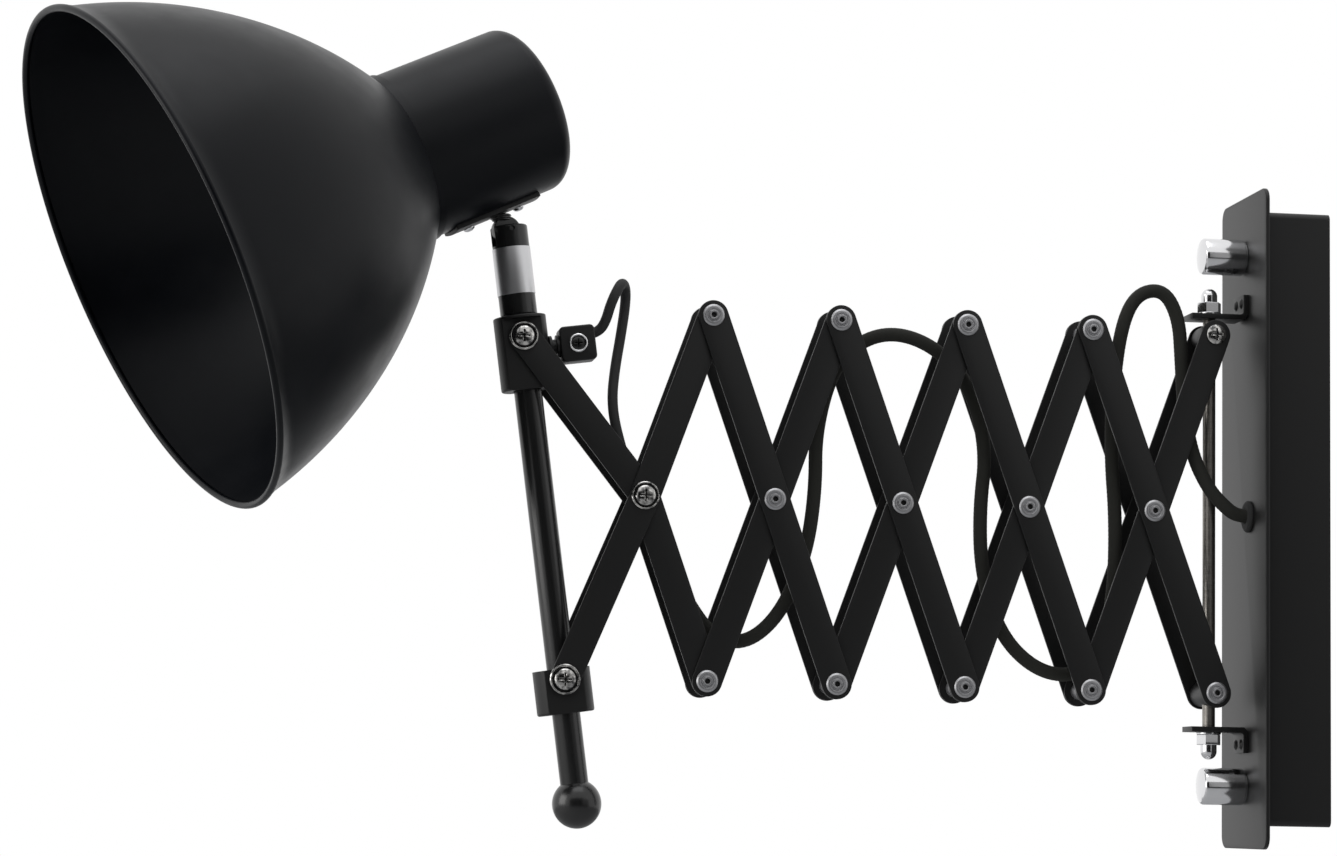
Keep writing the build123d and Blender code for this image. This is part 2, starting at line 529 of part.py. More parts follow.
def trunnion(height, half_length, bore):
    """Cylinder across the lattice with the spindle through it and a tapped hole in each end."""
    centre = Vector(SPINDLE_X, 0, height)
    with BuildPart() as block:
        lathe(tube_profile(-half_length, half_length, TRUNNION_RADIUS), centre, FRONT, UP)
        chamfer(block.edges().filter_by(GeomType.CIRCLE), TRUNNION_CHAMFER)
        lathe(tube_profile(-TRUNNION_RADIUS, TRUNNION_RADIUS, bore), centre, UP, OUT, mode=Mode.SUBTRACT)
        for direction in (FRONT, BACK):
            lathe(
                tube_profile(half_length - TAP_DEPTH, half_length, THREAD_TIP),
                centre, direction, UP, mode=Mode.SUBTRACT,
            )
    return block.part


save(trunnion(PIVOT_HEIGHT, FALLING - BAR_GAP, SPINDLE_RADIUS), "upper_trunnion")
save(
    trunnion(PIVOT_HEIGHT - DROP, RISING - BAR_GAP, SPINDLE_RADIUS + SLIDE_CLEARANCE),
    "lower_trunnion",
)


def shoulder_screws(place, half_length, seat, style):
    """Pivot screws into a trunnion: a shoulder in the bar's hole and a shorter thread."""
    centre = Vector(place[0], 0, place[1])
    tip = half_length - TAP_DEPTH + 0.5
    shank = [(tip, 0), (tip, THREAD_TIP), (half_length, THREAD_TIP), (half_length, RIVET_RADIUS), (seat, RIVET_RADIUS)]
    with BuildPart() as screws:
        for direction in (FRONT, BACK):
            if style == "cross":
                lathe(shank + round_head(seat, TRUNNION_HEAD_RADIUS), centre, direction, UP)
                cross_slot(centre, direction, seat + SCREW_HEAD, TRUNNION_HEAD_RADIUS)
            else:
                bore = [(seat - BAR_THICKNESS, RIVET_BORE), (seat - BAR_THICKNESS, 0)]
                lathe(shank + head_steps(seat) + bore, centre, direction, UP)
    return screws.part


save(shoulder_screws(top_pivot(0), FALLING - BAR_GAP, FALLING_OUT + BAR_GAP, "cross"), "trunnion_screws")
save(shoulder_screws(bottom_pivot(0), RISING - BAR_GAP, RISING_OUT + BAR_GAP, "rivet"), "slider_rivets")

# ---------------------------------------------------------------- lattice
for i in range(1, UNITS + 1):
    last = i == UNITS
    falling_end = LAMP_BOTTOM if last else bottom_pivot(i)
    save(bar_pair([top_pivot(i - 1), middle_pivot(i), falling_end], FALLING), f"down_bars_{i}")
    rising_end = LAMP_TOP if last else top_pivot(i)
    layer = LAST_RISING if last else RISING
    save(bar_pair([bottom_pivot(i - 1), middle_pivot(i), rising_end], layer), f"up_bars_{i}")

for i in range(1, UNITS):
    with BuildPart() as pivots:
        short_rivets(middle_pivot(i), FALLING, RISING_OUT)
        if i == UNITS - 1:
            long_rivet(bottom_pivot(i), LAST_RISING, FALLING_OUT)
        else:
            long_rivet(bottom_pivot(i), FALLING, RISING_OUT)
    save(pivots.part, f"down_pivots_{i}")
    with BuildPart() as pivots:
        long_rivet(top_pivot(i), FALLING, RISING_OUT)
    save(pivots.part, f"up_pivots_{i}")


def screws_and_washers(place, face, washer_radius, tip, head_radius):
    """Cross-slot screws whose heads sit in dished washers on a bar face."""
    with BuildPart() as screws:
        cross_screws(place, face + WASHER_DISH, tip, RIVET_RADIUS, head_radius)
    with BuildPart() as washers:
        cup_washers(place, face, RIVET_RADIUS, washer_radius)
    return screws, washers


LAST_NUT_HEIGHT, SCREW_END = 2.5, 0.5
LAST_WASHER, UPPER_WASHER, LOWER_WASHER = 6.7, 6.8, 7.2
SMALL_HEAD, LARGE_HEAD = 4.6, 4.8

with BuildPart() as last_pivot_nuts:
    for direction in (FRONT, BACK):
        lathe(
            tube_profile(LAST_RISING - LAST_NUT_HEIGHT, LAST_RISING, SMALL_HEAD, RIVET_RADIUS),
            Vector(last_middle[0], 0, last_middle[1]), direction, UP,
        )
save_set(
    "last_pivot_screws",
    *screws_and_washers(
        middle_pivot(UNITS), FALLING_OUT, LAST_WASHER, LAST_RISING - LAST_NUT_HEIGHT - SCREW_END, SMALL_HEAD
    ),
    last_pivot_nuts,
)


# ---------------------------------------------------------------- collars on the tube
def collar(hinge, radius, above, below, flat, thread, flat_above):
    """Turned collar on the tube, with a flat and a tapped hole for the bars on each side."""
    with BuildPart() as body:
        lathe(tube_profile(-below, above, radius, TUBE_RADIUS + SLIDE_CLEARANCE), hinge, tube_up, tube_in)
        rims = body.edges().filter_by(GeomType.CIRCLE).sort_by(lambda e: e.radius)[-2:]
        fillet(rims, COLLAR_ROUND)
        for side in (1, -1):
            plane = Plane(origin=hinge + BACK * (side * flat), x_dir=tube_up, z_dir=BACK * side)
            with BuildSketch(plane) as cut:
                with Locations(((flat_above - below) / 2, 0)):
                    Rectangle(flat_above + below, 2 * radius)
            extrude(cut.sketch, amount=radius, mode=Mode.SUBTRACT)
            lathe(tube_profile(0, radius, thread), hinge, BACK * side, UP, mode=Mode.SUBTRACT)
    return body.part


UPPER_FLAT = LAST_RISING - BAR_GAP
LOWER_FLAT = FALLING - BAR_GAP
SCREW_TIP = TUBE_RADIUS + 0.3
save(
    collar(lower_hinge, LOWER_COLLAR_RADIUS, LOWER_COLLAR_ABOVE, LOWER_COLLAR_BELOW,
           LOWER_FLAT, RIVET_RADIUS, LOWER_COLLAR_ABOVE),
    "lower_collar",
)

save_set(
    "upper_collar_screws",
    *screws_and_washers(LAMP_TOP, LAST_RISING_OUT + BAR_GAP, UPPER_WASHER, SCREW_TIP, SMALL_HEAD),
)
save_set(
    "lower_collar_screws",
    *screws_and_washers(LAMP_BOTTOM, FALLING_OUT + BAR_GAP, LOWER_WASHER, SCREW_TIP, LARGE_HEAD),
)

# cord clamp on the inner side of the upper collar
clamp_axis = upper_hinge - tube_up * CLAMP_DOWN
clamp_centre = clamp_axis + tube_in * CLAMP_OUT
CLAMP_NEAR = CLAMP_OUT - CLAMP_SIZE / 2
lead_exit = clamp_centre + tube_in * (CLAMP_SIZE / 2) + tube_up * LEAD_UP

with BuildPart() as clamp_nipple:
    lathe(
        [
            (UPPER_COLLAR_RADIUS - CLAMP_GRIP, 0),
            (CLAMP_NEAR + CLAMP_GRIP, 0),
            (CLAMP_NEAR + CLAMP_GRIP, CLAMP_PIN),
            (CLAMP_NEAR, CLAMP_PIN),
            (CLAMP_NEAR, CLAMP_RING),
            (CLAMP_NEAR - CLAMP_RING_LENGTH, CLAMP_RING),
            (CLAMP_NEAR - CLAMP_RING_LENGTH, CLAMP_NECK),
            (UPPER_COLLAR_RADIUS + CLAMP_RING_LENGTH, CLAMP_NECK),
            (UPPER_COLLAR_RADIUS + CLAMP_RING_LENGTH, CLAMP_RING),
            (UPPER_COLLAR_RADIUS, CLAMP_RING),
            (UPPER_COLLAR_RADIUS, CLAMP_PIN),
            (UPPER_COLLAR_RADIUS - CLAMP_GRIP, CLAMP_PIN),
        ],
        clamp_axis, tube_in, tube_up,
    )
with BuildPart() as upper_collar:
    add(collar(upper_hinge, UPPER_COLLAR_RADIUS, UPPER_COLLAR_ABOVE, UPPER_COLLAR_BELOW,
               UPPER_FLAT, RIVET_RADIUS, BAR_WIDTH / 2 + UPPER_FLAT_EDGE))
    lathe(
        tube_profile(UPPER_COLLAR_RADIUS - CLAMP_GRIP, UPPER_COLLAR_RADIUS + CLAMP_GRIP, CLAMP_PIN),
        clamp_axis, tube_in, tube_up, mode=Mode.SUBTRACT,
    )
save(upper_collar.part, "upper_collar")
save(clamp_nipple.part, "clamp_nipple")

CLAMP_PLANE = Plane(origin=clamp_centre, x_dir=tube_in, z_dir=FRONT)
with BuildPart() as cord_clamp:
    with BuildSketch(CLAMP_PLANE.offset(-CLAMP_DEPTH / 2)) as block:
        RectangleRounded(CLAMP_SIZE, CLAMP_SIZE, CLAMP_CORNER)
    extrude(block.sketch, amount=CLAMP_DEPTH)
    lathe(tube_profile(CLAMP_NEAR, CLAMP_NEAR + CLAMP_GRIP, CLAMP_PIN), clamp_axis, tube_in, tube_up,
          mode=Mode.SUBTRACT)
    lathe(tube_profile(CLAMP_DEPTH / 2 - CLAMP_SCREW_LENGTH, CLAMP_DEPTH / 2, CLAMP_SCREW_THREAD),
          clamp_centre, FRONT, UP, mode=Mode.SUBTRACT)
save(cord_clamp.part, "cord_clamp")

with BuildPart() as clamp_screw:
    seat = CLAMP_DEPTH / 2
    top = seat + CLAMP_SCREW_HEAD
    lathe(
        [
            (seat - CLAMP_SCREW_LENGTH, 0),
            (top, 0),
            (top - CLAMP_SCREW_HEAD * 0.2, CLAMP_SCREW_RADIUS * 0.6),
            (seat, CLAMP_SCREW_RADIUS),
            (seat, CLAMP_SCREW_THREAD),
            (seat - CLAMP_SCREW_LENGTH, CLAMP_SCREW_THREAD),
        ],
        clamp_centre, FRONT, UP,
    )
    with BuildSketch(Plane(origin=clamp_centre + FRONT * top, x_dir=(1, 0, 0), z_dir=FRONT)) as slot:
        Rectangle(CLAMP_SCREW_RADIUS * 1.6, CROSS_WIDTH)
    extrude(slot.sketch, amount=-CROSS_WIDTH, mode=Mode.SUBTRACT)
save(clamp_screw.part, "clamp_screw")

# ---------------------------------------------------------------- tube, stem and ball
tube_bottom = ball_centre + tube_up * (BALL_RADIUS - TUBE_IN_BALL)
TUBE_LENGTH = (stem_foot - tube_bottom).length + TUBE_IN_STEM

with BuildPart() as lamp_tube:
    lathe(tube_profile(0, TUBE_LENGTH, TUBE_RADIUS, TUBE_RADIUS - TUBE_WALL), tube_bottom, tube_up, tube_in)
save(lamp_tube.part, "lamp_tube")

with BuildPart() as ball_knob:
    with Locations(Plane(origin=ball_centre, x_dir=tube_in, z_dir=tube_up)):
        Sphere(BALL_RADIUS)
    lathe(tube_profile(0, TUBE_IN_BALL + BALL_CLEARANCE, TUBE_RADIUS), tube_bottom, tube_up, tube_in,
          mode=Mode.SUBTRACT)
save(ball_knob.part, "ball_knob")

SLOT_DEPTH = PIVOT_BELOW_TOP + EYE_RADIUS + EYE_CLEARANCE
with BuildPart() as stem:
    lathe(tube_profile(0, STEM_LENGTH, STEM_RADIUS), stem_foot, tube_up, tube_in)
    fillet(stem.edges().filter_by(GeomType.CIRCLE), STEM_ROUND)
    lathe(tube_profile(0, TUBE_IN_STEM, TUBE_RADIUS), stem_foot, tube_up, tube_in, mode=Mode.SUBTRACT)
    with BuildSketch(Plane(origin=stem_top, x_dir=outward, z_dir=tube_up)) as slot:
        Rectangle(3 * STEM_RADIUS, EYE_THICKNESS + SLOT_CLEARANCE)
    extrude(slot.sketch, amount=-SLOT_DEPTH, mode=Mode.SUBTRACT)
    lathe(tube_profile(-STEM_RADIUS, STEM_RADIUS, BOLT_RADIUS), tilt_pivot, tilt_axis, tube_up,
          mode=Mode.SUBTRACT)
save(stem.part, "stem")

with BuildPart() as label_band:
    lathe(
        tube_profile(BAND_UP, BAND_UP + BAND_HEIGHT, STEM_RADIUS + BAND_THICKNESS, STEM_RADIUS),
        stem_foot, tube_up, tube_in,
    )
save(label_band.part, "label_band")

BOLT_REACH = STEM_RADIUS - BOLT_RECESS
with BuildPart() as tilt_bolt:
    lathe(
        tube_profile(-BOLT_REACH, BOLT_REACH, BOLT_RADIUS - BOLT_CLEARANCE / 2),
        tilt_pivot, tilt_axis, tube_up,
    )
save(tilt_bolt.part, "tilt_bolt")

# ---------------------------------------------------------------- lamp head
SADDLE_UNDER = PIVOT_OFF - CUP_RADIUS - SADDLE_THICKNESS
with BuildPart() as swivel_neck:
    with BuildSketch(TILT_PLANE.offset(-EYE_THICKNESS / 2)) as eye:
        Circle(EYE_RADIUS)
        Circle(BOLT_RADIUS + BOLT_CLEARANCE, mode=Mode.SUBTRACT)
    extrude(eye.sketch, amount=EYE_THICKNESS)
    ribs = []
    rib_base = EYE_RADIUS - NECK_OVERLAP
    rib = (SADDLE_UNDER - rib_base) / NECK_RIBS
    for n in range(NECK_RIBS):
        low = rib_base + n * rib
        swell = NECK_RADIUS - NECK_TAPER * (NECK_RIBS - 1 - n)
        ribs += [(low, swell - NECK_GROOVE), (low + rib * 0.25, swell), (low + rib * 0.75, swell)]
        ribs += [(low + rib, swell - NECK_GROOVE)]
    ribs = [p for k, p in enumerate(ribs) if k == 0 or p != ribs[k - 1]]
    lathe([(rib_base, 0)] + ribs + [(SADDLE_UNDER, 0)], tilt_pivot, head_up, outward)
    lathe(tube_profile(-EYE_THICKNESS, EYE_THICKNESS, BOLT_RADIUS + BOLT_CLEARANCE), tilt_pivot, tilt_axis,
          tube_up, mode=Mode.SUBTRACT)
save(swivel_neck.part, "swivel_neck")

with BuildPart() as cup_saddle:
    lathe(
        tube_profile(SADDLE_START, SADDLE_END, CUP_RADIUS + SADDLE_THICKNESS, CUP_RADIUS),
        rim_centre, head_back, head_up,
    )
    with BuildSketch(HEAD_PLANE.offset(SADDLE_START - 1)) as keep:
        with Locations((-CUP_RADIUS, 0)):
            Rectangle(CUP_RADIUS, SADDLE_WIDTH)
    extrude(keep.sketch, amount=SADDLE_END - SADDLE_START + 2, mode=Mode.INTERSECT)
    for along in SADDLE_SCREWS:
        lathe(
            tube_profile(0, CUP_RADIUS + 2 * SADDLE_THICKNESS, SADDLE_SCREW + HOLE_CLEARANCE),
            rim_centre + head_back * along, head_up * -1, head_back, mode=Mode.SUBTRACT,
        )
save(cup_saddle.part, "cup_saddle")

with BuildPart() as saddle_screws:
    for along in SADDLE_SCREWS:
        seat = CUP_RADIUS + SADDLE_THICKNESS
        tip = CUP_RADIUS - CUP_WALL - SADDLE_SCREW_TIP
        lathe(
            [
                (tip, 0),
                (seat + SADDLE_SCREW_HEAD, 0),
                (seat + SADDLE_SCREW_HEAD * 0.75, SADDLE_SCREW_HEAD_RADIUS * 0.63),
                (seat, SADDLE_SCREW_HEAD_RADIUS),
                (seat, SADDLE_SCREW),
                (tip, SADDLE_SCREW),
            ],
            rim_centre + head_back * along, head_up * -1, head_back,
        )
save(saddle_screws.part, "saddle_screws")

with BuildPart() as socket_cup:
    with BuildSketch(Plane(origin=rim_centre, x_dir=head_back, z_dir=head_back.cross(head_up))) as wall:
        with BuildLine():
            inner_round = CUP_ROUND - CUP_WALL
            Polyline((CUP_END, 0), (CUP_END, CUP_RADIUS - CUP_ROUND))
            RadiusArc((CUP_END, CUP_RADIUS - CUP_ROUND), (CUP_END - CUP_ROUND, CUP_RADIUS), -CUP_ROUND)
            Polyline(
                (CUP_END - CUP_ROUND, CUP_RADIUS),
                (CUP_START, CUP_RADIUS),
                (CUP_START, CUP_RADIUS - CUP_WALL),
                (CUP_END - CUP_ROUND, CUP_RADIUS - CUP_WALL),
            )
            RadiusArc(
                (CUP_END - CUP_ROUND, CUP_RADIUS - CUP_WALL),
                (CUP_END - CUP_WALL, CUP_RADIUS - CUP_ROUND),
                inner_round,
            )
            Polyline((CUP_END - CUP_WALL, CUP_RADIUS - CUP_ROUND), (CUP_END - CUP_WALL, 0), (CUP_END, 0))
        make_face()
    revolve(wall.sketch, axis=Axis(rim_centre, head_back))
    for along in SADDLE_SCREWS:
        lathe(
            tube_profile(CUP_RADIUS - 2 * CUP_WALL, CUP_RADIUS + CUP_WALL, SADDLE_SCREW),
            rim_centre + head_back * along, head_up * -1, head_back, mode=Mode.SUBTRACT,
        )
    lathe(tube_profile(CUP_END - 2 * CUP_WALL, CUP_END, NIPPLE_RADIUS), rim_centre, head_back, head_up,
          mode=Mode.SUBTRACT)
save(socket_cup.part, "socket_cup")

# bell shade: one long curve from the rim to the cup, a rolled bead at the rim and a short neck
NECK_START = SHADE_DEPTH - SHADE_NECK


def offset_inward(point, slope):
    """The point one wall thickness inside the shade, given the curve's slope there in degrees."""
    along, radius = point
    return (along - SHADE_WALL * sin(radians(slope)), radius - SHADE_WALL * cos(radians(slope)))


with BuildPart() as shade:
    with BuildSketch(Plane(origin=rim_centre, x_dir=head_back, z_dir=head_back.cross(head_up))) as wall:
        with BuildLine():
            outer_neck = (NECK_START, CUP_RADIUS + SHADE_WALL)
            inner_neck = (NECK_START - SHADE_WALL * 0.4, CUP_RADIUS + SHADE_FIT)
            ThreePointArc((0, SHADE_RADIUS), SHADE_MIDDLE, outer_neck)
            Polyline(
                outer_neck,
                (SHADE_DEPTH, CUP_RADIUS + SHADE_WALL),
                (SHADE_DEPTH, CUP_RADIUS + SHADE_FIT),
                inner_neck,
            )
            ThreePointArc(inner_neck, offset_inward(SHADE_MIDDLE, SHADE_SLOPE), (0, SHADE_RADIUS - SHADE_WALL))
            Line((0, SHADE_RADIUS - SHADE_WALL), (0, SHADE_RADIUS))
        make_face()
        with Locations((BEAD_OFFSET, SHADE_RADIUS - BEAD_OFFSET)):
            Circle(BEAD_RADIUS)
    revolve(wall.sketch, axis=Axis(rim_centre, head_back))
save(shade.part, "shade")

HOLDER_BACK = CUP_END - CUP_WALL - HOLDER_GAP
HOLDER_FRONT = HOLDER_BACK - HOLDER_LENGTH
with BuildPart() as lampholder:
    lathe(
        [
            (HOLDER_BACK, NIPPLE_RADIUS),
            (HOLDER_BACK, HOLDER_RADIUS - HOLDER_SHOULDER),
            (HOLDER_BACK - HOLDER_TAPER, HOLDER_RADIUS),
            (HOLDER_FRONT + HOLDER_COLLAR, HOLDER_RADIUS),
            (HOLDER_FRONT + HOLDER_COLLAR, HOLDER_RADIUS - HOLDER_STEP),
            (HOLDER_FRONT, HOLDER_RADIUS - HOLDER_STEP),
            (HOLDER_FRONT, THREAD_RADIUS + THREAD_WALL),
            (HOLDER_FRONT + THREAD_DEPTH + CONTACT_DEPTH, THREAD_RADIUS + THREAD_WALL),
            (HOLDER_FRONT + THREAD_DEPTH + CONTACT_DEPTH, NIPPLE_RADIUS),
        ],
        rim_centre, head_back, head_up,
    )
save(lampholder.part, "lampholder")

with BuildPart() as lampholder_nipple:
    lathe(
        tube_profile(HOLDER_BACK - NIPPLE_GRIP, CUP_END, NIPPLE_RADIUS, NIPPLE_RADIUS - NIPPLE_WALL),
        rim_centre, head_back, head_up,
    )
    lathe(
        tube_profile(HOLDER_BACK, CUP_END - CUP_WALL, NIPPLE_NUT_RADIUS, NIPPLE_RADIUS),
        rim_centre, head_back, head_up,
    )
save(lampholder_nipple.part, "lampholder_nipple")

with BuildPart() as lampholder_contacts:
    shell_back = HOLDER_FRONT + THREAD_DEPTH
    lathe(
        [
            (HOLDER_FRONT + THREAD_SETBACK, THREAD_RADIUS),
            (shell_back, THREAD_RADIUS),
            (shell_back, THREAD_RADIUS + THREAD_WALL),
            (HOLDER_FRONT + THREAD_SETBACK, THREAD_RADIUS + THREAD_WALL),
        ],
        rim_centre, head_back, head_up,
    )
    lathe(
        tube_profile(shell_back + THREAD_WALL, shell_back + CONTACT_DEPTH, CONTACT_RADIUS),
        rim_centre, head_back, head_up,
    )
save(lampholder_contacts.part, "lampholder_contacts")

with BuildPart() as shade_ring:
    lathe(
        tube_profile(
            HOLDER_FRONT + SHADE_RING_START, HOLDER_FRONT + SHADE_RING_START + SHADE_RING_LENGTH,
            SHADE_RING_RADIUS, HOLDER_RADIUS - HOLDER_STEP,
        ),
        rim_centre, head_back, head_up,
    )
save(shade_ring.part, "shade_ring")

# ---------------------------------------------------------------- cord
def in_lattice(pitches, layers, drops):
    """Point by pitches out from the spindle, inner faces across and drops above the crossings."""
    return (SPINDLE_X - pitches * PITCH, layers * INNER_FACE, MIDDLE_HEIGHT + drops * DROP)


LEAD_SHAPE = (
    (4.768, -0.287, 0.4847),
    (4.7879, -0.671, 0.5324),
    (4.7581, -0.719, 0.5796),
    (4.7051, -0.311, 0.612),
    (4.6587, 0.479, 0.5991),
    (4.6488, 0.695, 0.5442),
    (4.6786, 0.623, 0.4469),
    (4.725, 0.383, 0.3496),
    (4.7482, 0.096, 0.2612),
    (4.7051, 0, 0.1727),
    (4.6223, 0, 0.0842),
)
FLEX_SHAPE = (
    (4.3225, 0, -0.1664),
    (4.1321, 0, -0.2843),
    (3.9333, 0, -0.3787),
    (3.6684, 0, -0.3934),
    (3.4034, 0, -0.3079),
    (3.2129, 0, -0.1428),
    (3.1467, 0, 0.0341),
    (3.1533, 0, 0.1992),
    (3.0225, 0, 0.3762),
    (2.7906, 0, 0.4587),
    (2.5091, 0, 0.4823),
    (2.1944, 0, 0.441),
    (1.9294, 0, 0.3408),
    (1.7936, 0, 0.1639),
    (1.8466, 0, -0.0013),
    (1.83, 0, -0.1782),
    (1.681, 0, -0.3492),
    (1.3829, 0, -0.4495),
    (1.0517, 0, -0.4613),
    (0.8446, 0, -0.3787),
    (0.7668, 0, -0.2254),
    (0.7535, 0, -0.0249),
    (0.7966, 0, 0.1639),
    (0.78, 0, 0.3526),
    (0.7121, 0, 0.5295),
    (0.5879, 0, 0.6179),
    (0.3726, 0, 0.6327),
    (0.2484, 0, 0.5531),
    (0.2269, 0, 0.4351),
    (0.2153, -0.24, 0.2936),
    (0.1656, -0.659, 0.1639),
    (0.0414, -0.826, 0.0695),
    (-0.0828, -1.03, 0.0194),
)
lead_route = [tuple(lead_exit), tuple(lead_exit + tube_in * STRAIGHT_LEAD)] + [in_lattice(*p) for p in LEAD_SHAPE]
joint_start = Vector(*lead_route[-1])
joint_axis = (joint_start - Vector(*lead_route[-2])).normalized()
joint_end = joint_start + joint_axis * JOINT_LENGTH
flex_route = [tuple(joint_end), tuple(joint_end + joint_axis * STRAIGHT_FLEX)] + [in_lattice(*p) for p in FLEX_SHAPE]
flex_route += [
    (PLATE_FACE - WALL_RUN_OUT, GROMMET_Y, GROMMET_Z),
    (PLATE_FACE + WALL_RUN_IN, GROMMET_Y, GROMMET_Z),
    (-TERMINAL_ENTRY, GROMMET_Y, ENTRY_BEND),
    (-TERMINAL_ENTRY, GROMMET_Y, TERMINAL_TOP),
]


def bend_radii(route):
    """The largest arc that each corner's two runs allow."""
    points = [Vector(*p) for p in route]
    radii = []
    for before, corner, after in zip(points, points[1:], points[2:]):
        arriving, leaving = corner - before, after - corner
        half_turn = radians(arriving.get_angle(leaving)) / 2
        radii.append(0.45 * min(arriving.length, leaving.length) / tan(half_turn))
    return radii


def cord_tube(route, diameter):
    """Round tube along the route: straight runs joined by tangent arcs."""
    with BuildPart() as tube:
        with BuildLine() as path:
            FilletPolyline(*route, radius=bend_radii(route))
        with BuildSketch(Plane(origin=route[0], z_dir=Vector(*route[1]) - Vector(*route[0]))) as section:
            Circle(diameter / 2)
        sweep(section.sketch, path=path.wire())
    return tube.part


save(cord_tube(lead_route, LEAD_DIAMETER), "lamp_lead")
save(cord_tube(flex_route, FLEX_DIAMETER), "braided_flex")

with BuildPart() as lead_joint:
    lathe(tube_profile(0, JOINT_LENGTH, JOINT_DIAMETER / 2), joint_start, joint_axis, BACK)
save(lead_joint.part, "lead_joint")
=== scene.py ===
"""Accordion wall lamp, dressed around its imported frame.

Sizes are in millimetres and turn into metres when a mesh is made. +X goes into the wall, the lamp reaches
out along -X, +Z is up and the front of the lattice faces -Y. A piece's object sits at the origin, and its
place is in its mesh.
"""

from math import atan2, cos, pi, radians, sin

import bmesh
import bpy
import numpy as np
from mathutils import Matrix


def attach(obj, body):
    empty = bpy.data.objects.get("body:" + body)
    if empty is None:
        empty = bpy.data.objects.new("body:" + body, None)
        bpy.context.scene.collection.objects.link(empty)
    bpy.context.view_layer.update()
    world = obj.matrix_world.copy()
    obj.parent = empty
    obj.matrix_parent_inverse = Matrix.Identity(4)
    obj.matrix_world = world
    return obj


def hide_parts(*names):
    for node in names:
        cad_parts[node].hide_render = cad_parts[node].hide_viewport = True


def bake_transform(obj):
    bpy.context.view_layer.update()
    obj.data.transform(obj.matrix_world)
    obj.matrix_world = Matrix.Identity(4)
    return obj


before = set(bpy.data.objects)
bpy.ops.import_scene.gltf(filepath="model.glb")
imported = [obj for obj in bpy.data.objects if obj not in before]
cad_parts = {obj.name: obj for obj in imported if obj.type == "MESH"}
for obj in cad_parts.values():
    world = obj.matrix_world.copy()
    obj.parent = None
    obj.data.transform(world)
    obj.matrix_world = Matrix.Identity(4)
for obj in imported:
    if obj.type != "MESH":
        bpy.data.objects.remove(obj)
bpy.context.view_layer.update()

bl_info = {
    "name": "Accordion Wall Lamp",
    "version": (1, 0, 0),
    "blender": (4, 5, 0),
    "location": "View3D > Sidebar > Wall Lamp",
    "description": "Builds the looks of a scissor-arm wall lamp around its frame",
    "category": "Add Mesh",
}

MM = 0.001

# ---------------------------------------------------------------- sizes shared with the frame
BAR_LENGTH, BAR_WIDTH, BAR_THICKNESS, BAR_GAP = 180.0, 14.0, 1.5, 0.1
REACH_ANGLE, RISING_CRANK, FALLING_CRANK, END_ARM, UNITS = 19.6, 19.0, 3.0, 92.5, 5
INNER_FACE = 8.35
LAYER = BAR_THICKNESS + BAR_GAP
LAST_RISING, FALLING, RISING = INNER_FACE, INNER_FACE + LAYER, INNER_FACE + 2 * LAYER
FALLING_OUT, RISING_OUT = FALLING + BAR_THICKNESS, RISING + BAR_THICKNESS
LAST_RISING_OUT = LAST_RISING + BAR_THICKNESS

BOX_WIDTH, BOX_HEIGHT, BOX_DEPTH, BOX_WALL = 55.5, 288.5, 31.5, 1.5
PLATE_WIDTH, PLATE_HEIGHT, PLATE_THICKNESS, PLATE_CORNER = 69.0, 310.0, 2.0, 6.0
PLATE_FACE = -(BOX_DEPTH + PLATE_THICKNESS)
STUD_RADIUS, STUD_HEIGHT = 3.0, 126.0
KNOB_RADIUS, KNOB_LENGTH = 8.7, 22.0
GROMMET_Y, GROMMET_Z, GROMMET_RADIUS, GROMMET_LIP = -9.0, 1.0, 7.5, 2.2

SPINDLE_X = PLATE_FACE - 17.0
SPINDLE_RADIUS, PIVOT_HEIGHT, TRUNNION_RADIUS = 3.0, 87.0, 6.0
TAB_LENGTH, TAB_WIDTH, TAB_THICKNESS, TAB_FOOT = 27.5, 16.0, 2.5, 12.0
UPPER_TAB_Z, LOWER_TAB_Z = 95.2, -98.2
NUT_ACROSS, NUT_HEIGHT, DOME_RADIUS, DOME_STRAIGHT = 10.0, 5.0, 3.8, 3.0
WASHER_RADIUS, WASHER_THICKNESS, WASHER_DISH = 5.8, 1.0, 0.7

RIVET_BORE, RIVET_HEAD_RADIUS, RIVET_HEAD, SLEEVE_RADIUS = 1.3, 5.1, 1.1, 4.0

TUBE_RADIUS, STEM_RADIUS, STEM_LENGTH = 6.5, 8.6, 42.5
UPPER_COLLAR = {"radius": 12.25, "above": 10.0, "below": 24.5, "flat": LAST_RISING - BAR_GAP,
                "flat_top": 8.5}
LOWER_COLLAR = {"radius": 13.25, "above": 5.0, "below": 15.5, "flat": FALLING - BAR_GAP,
                "flat_top": 5.0}
BAND_HEIGHT, BAND_UP, BAND_THICKNESS = 22.0, 10.0, 0.25
BALL_RADIUS, BALL_DROP = 11.35, 57.0
CLAMP_SIZE, CLAMP_DEPTH, CLAMP_OUT, CLAMP_DOWN = 16.5, 12.8, 25.2, 5.5
TURN, TILT = radians(14.7), radians(18.0)

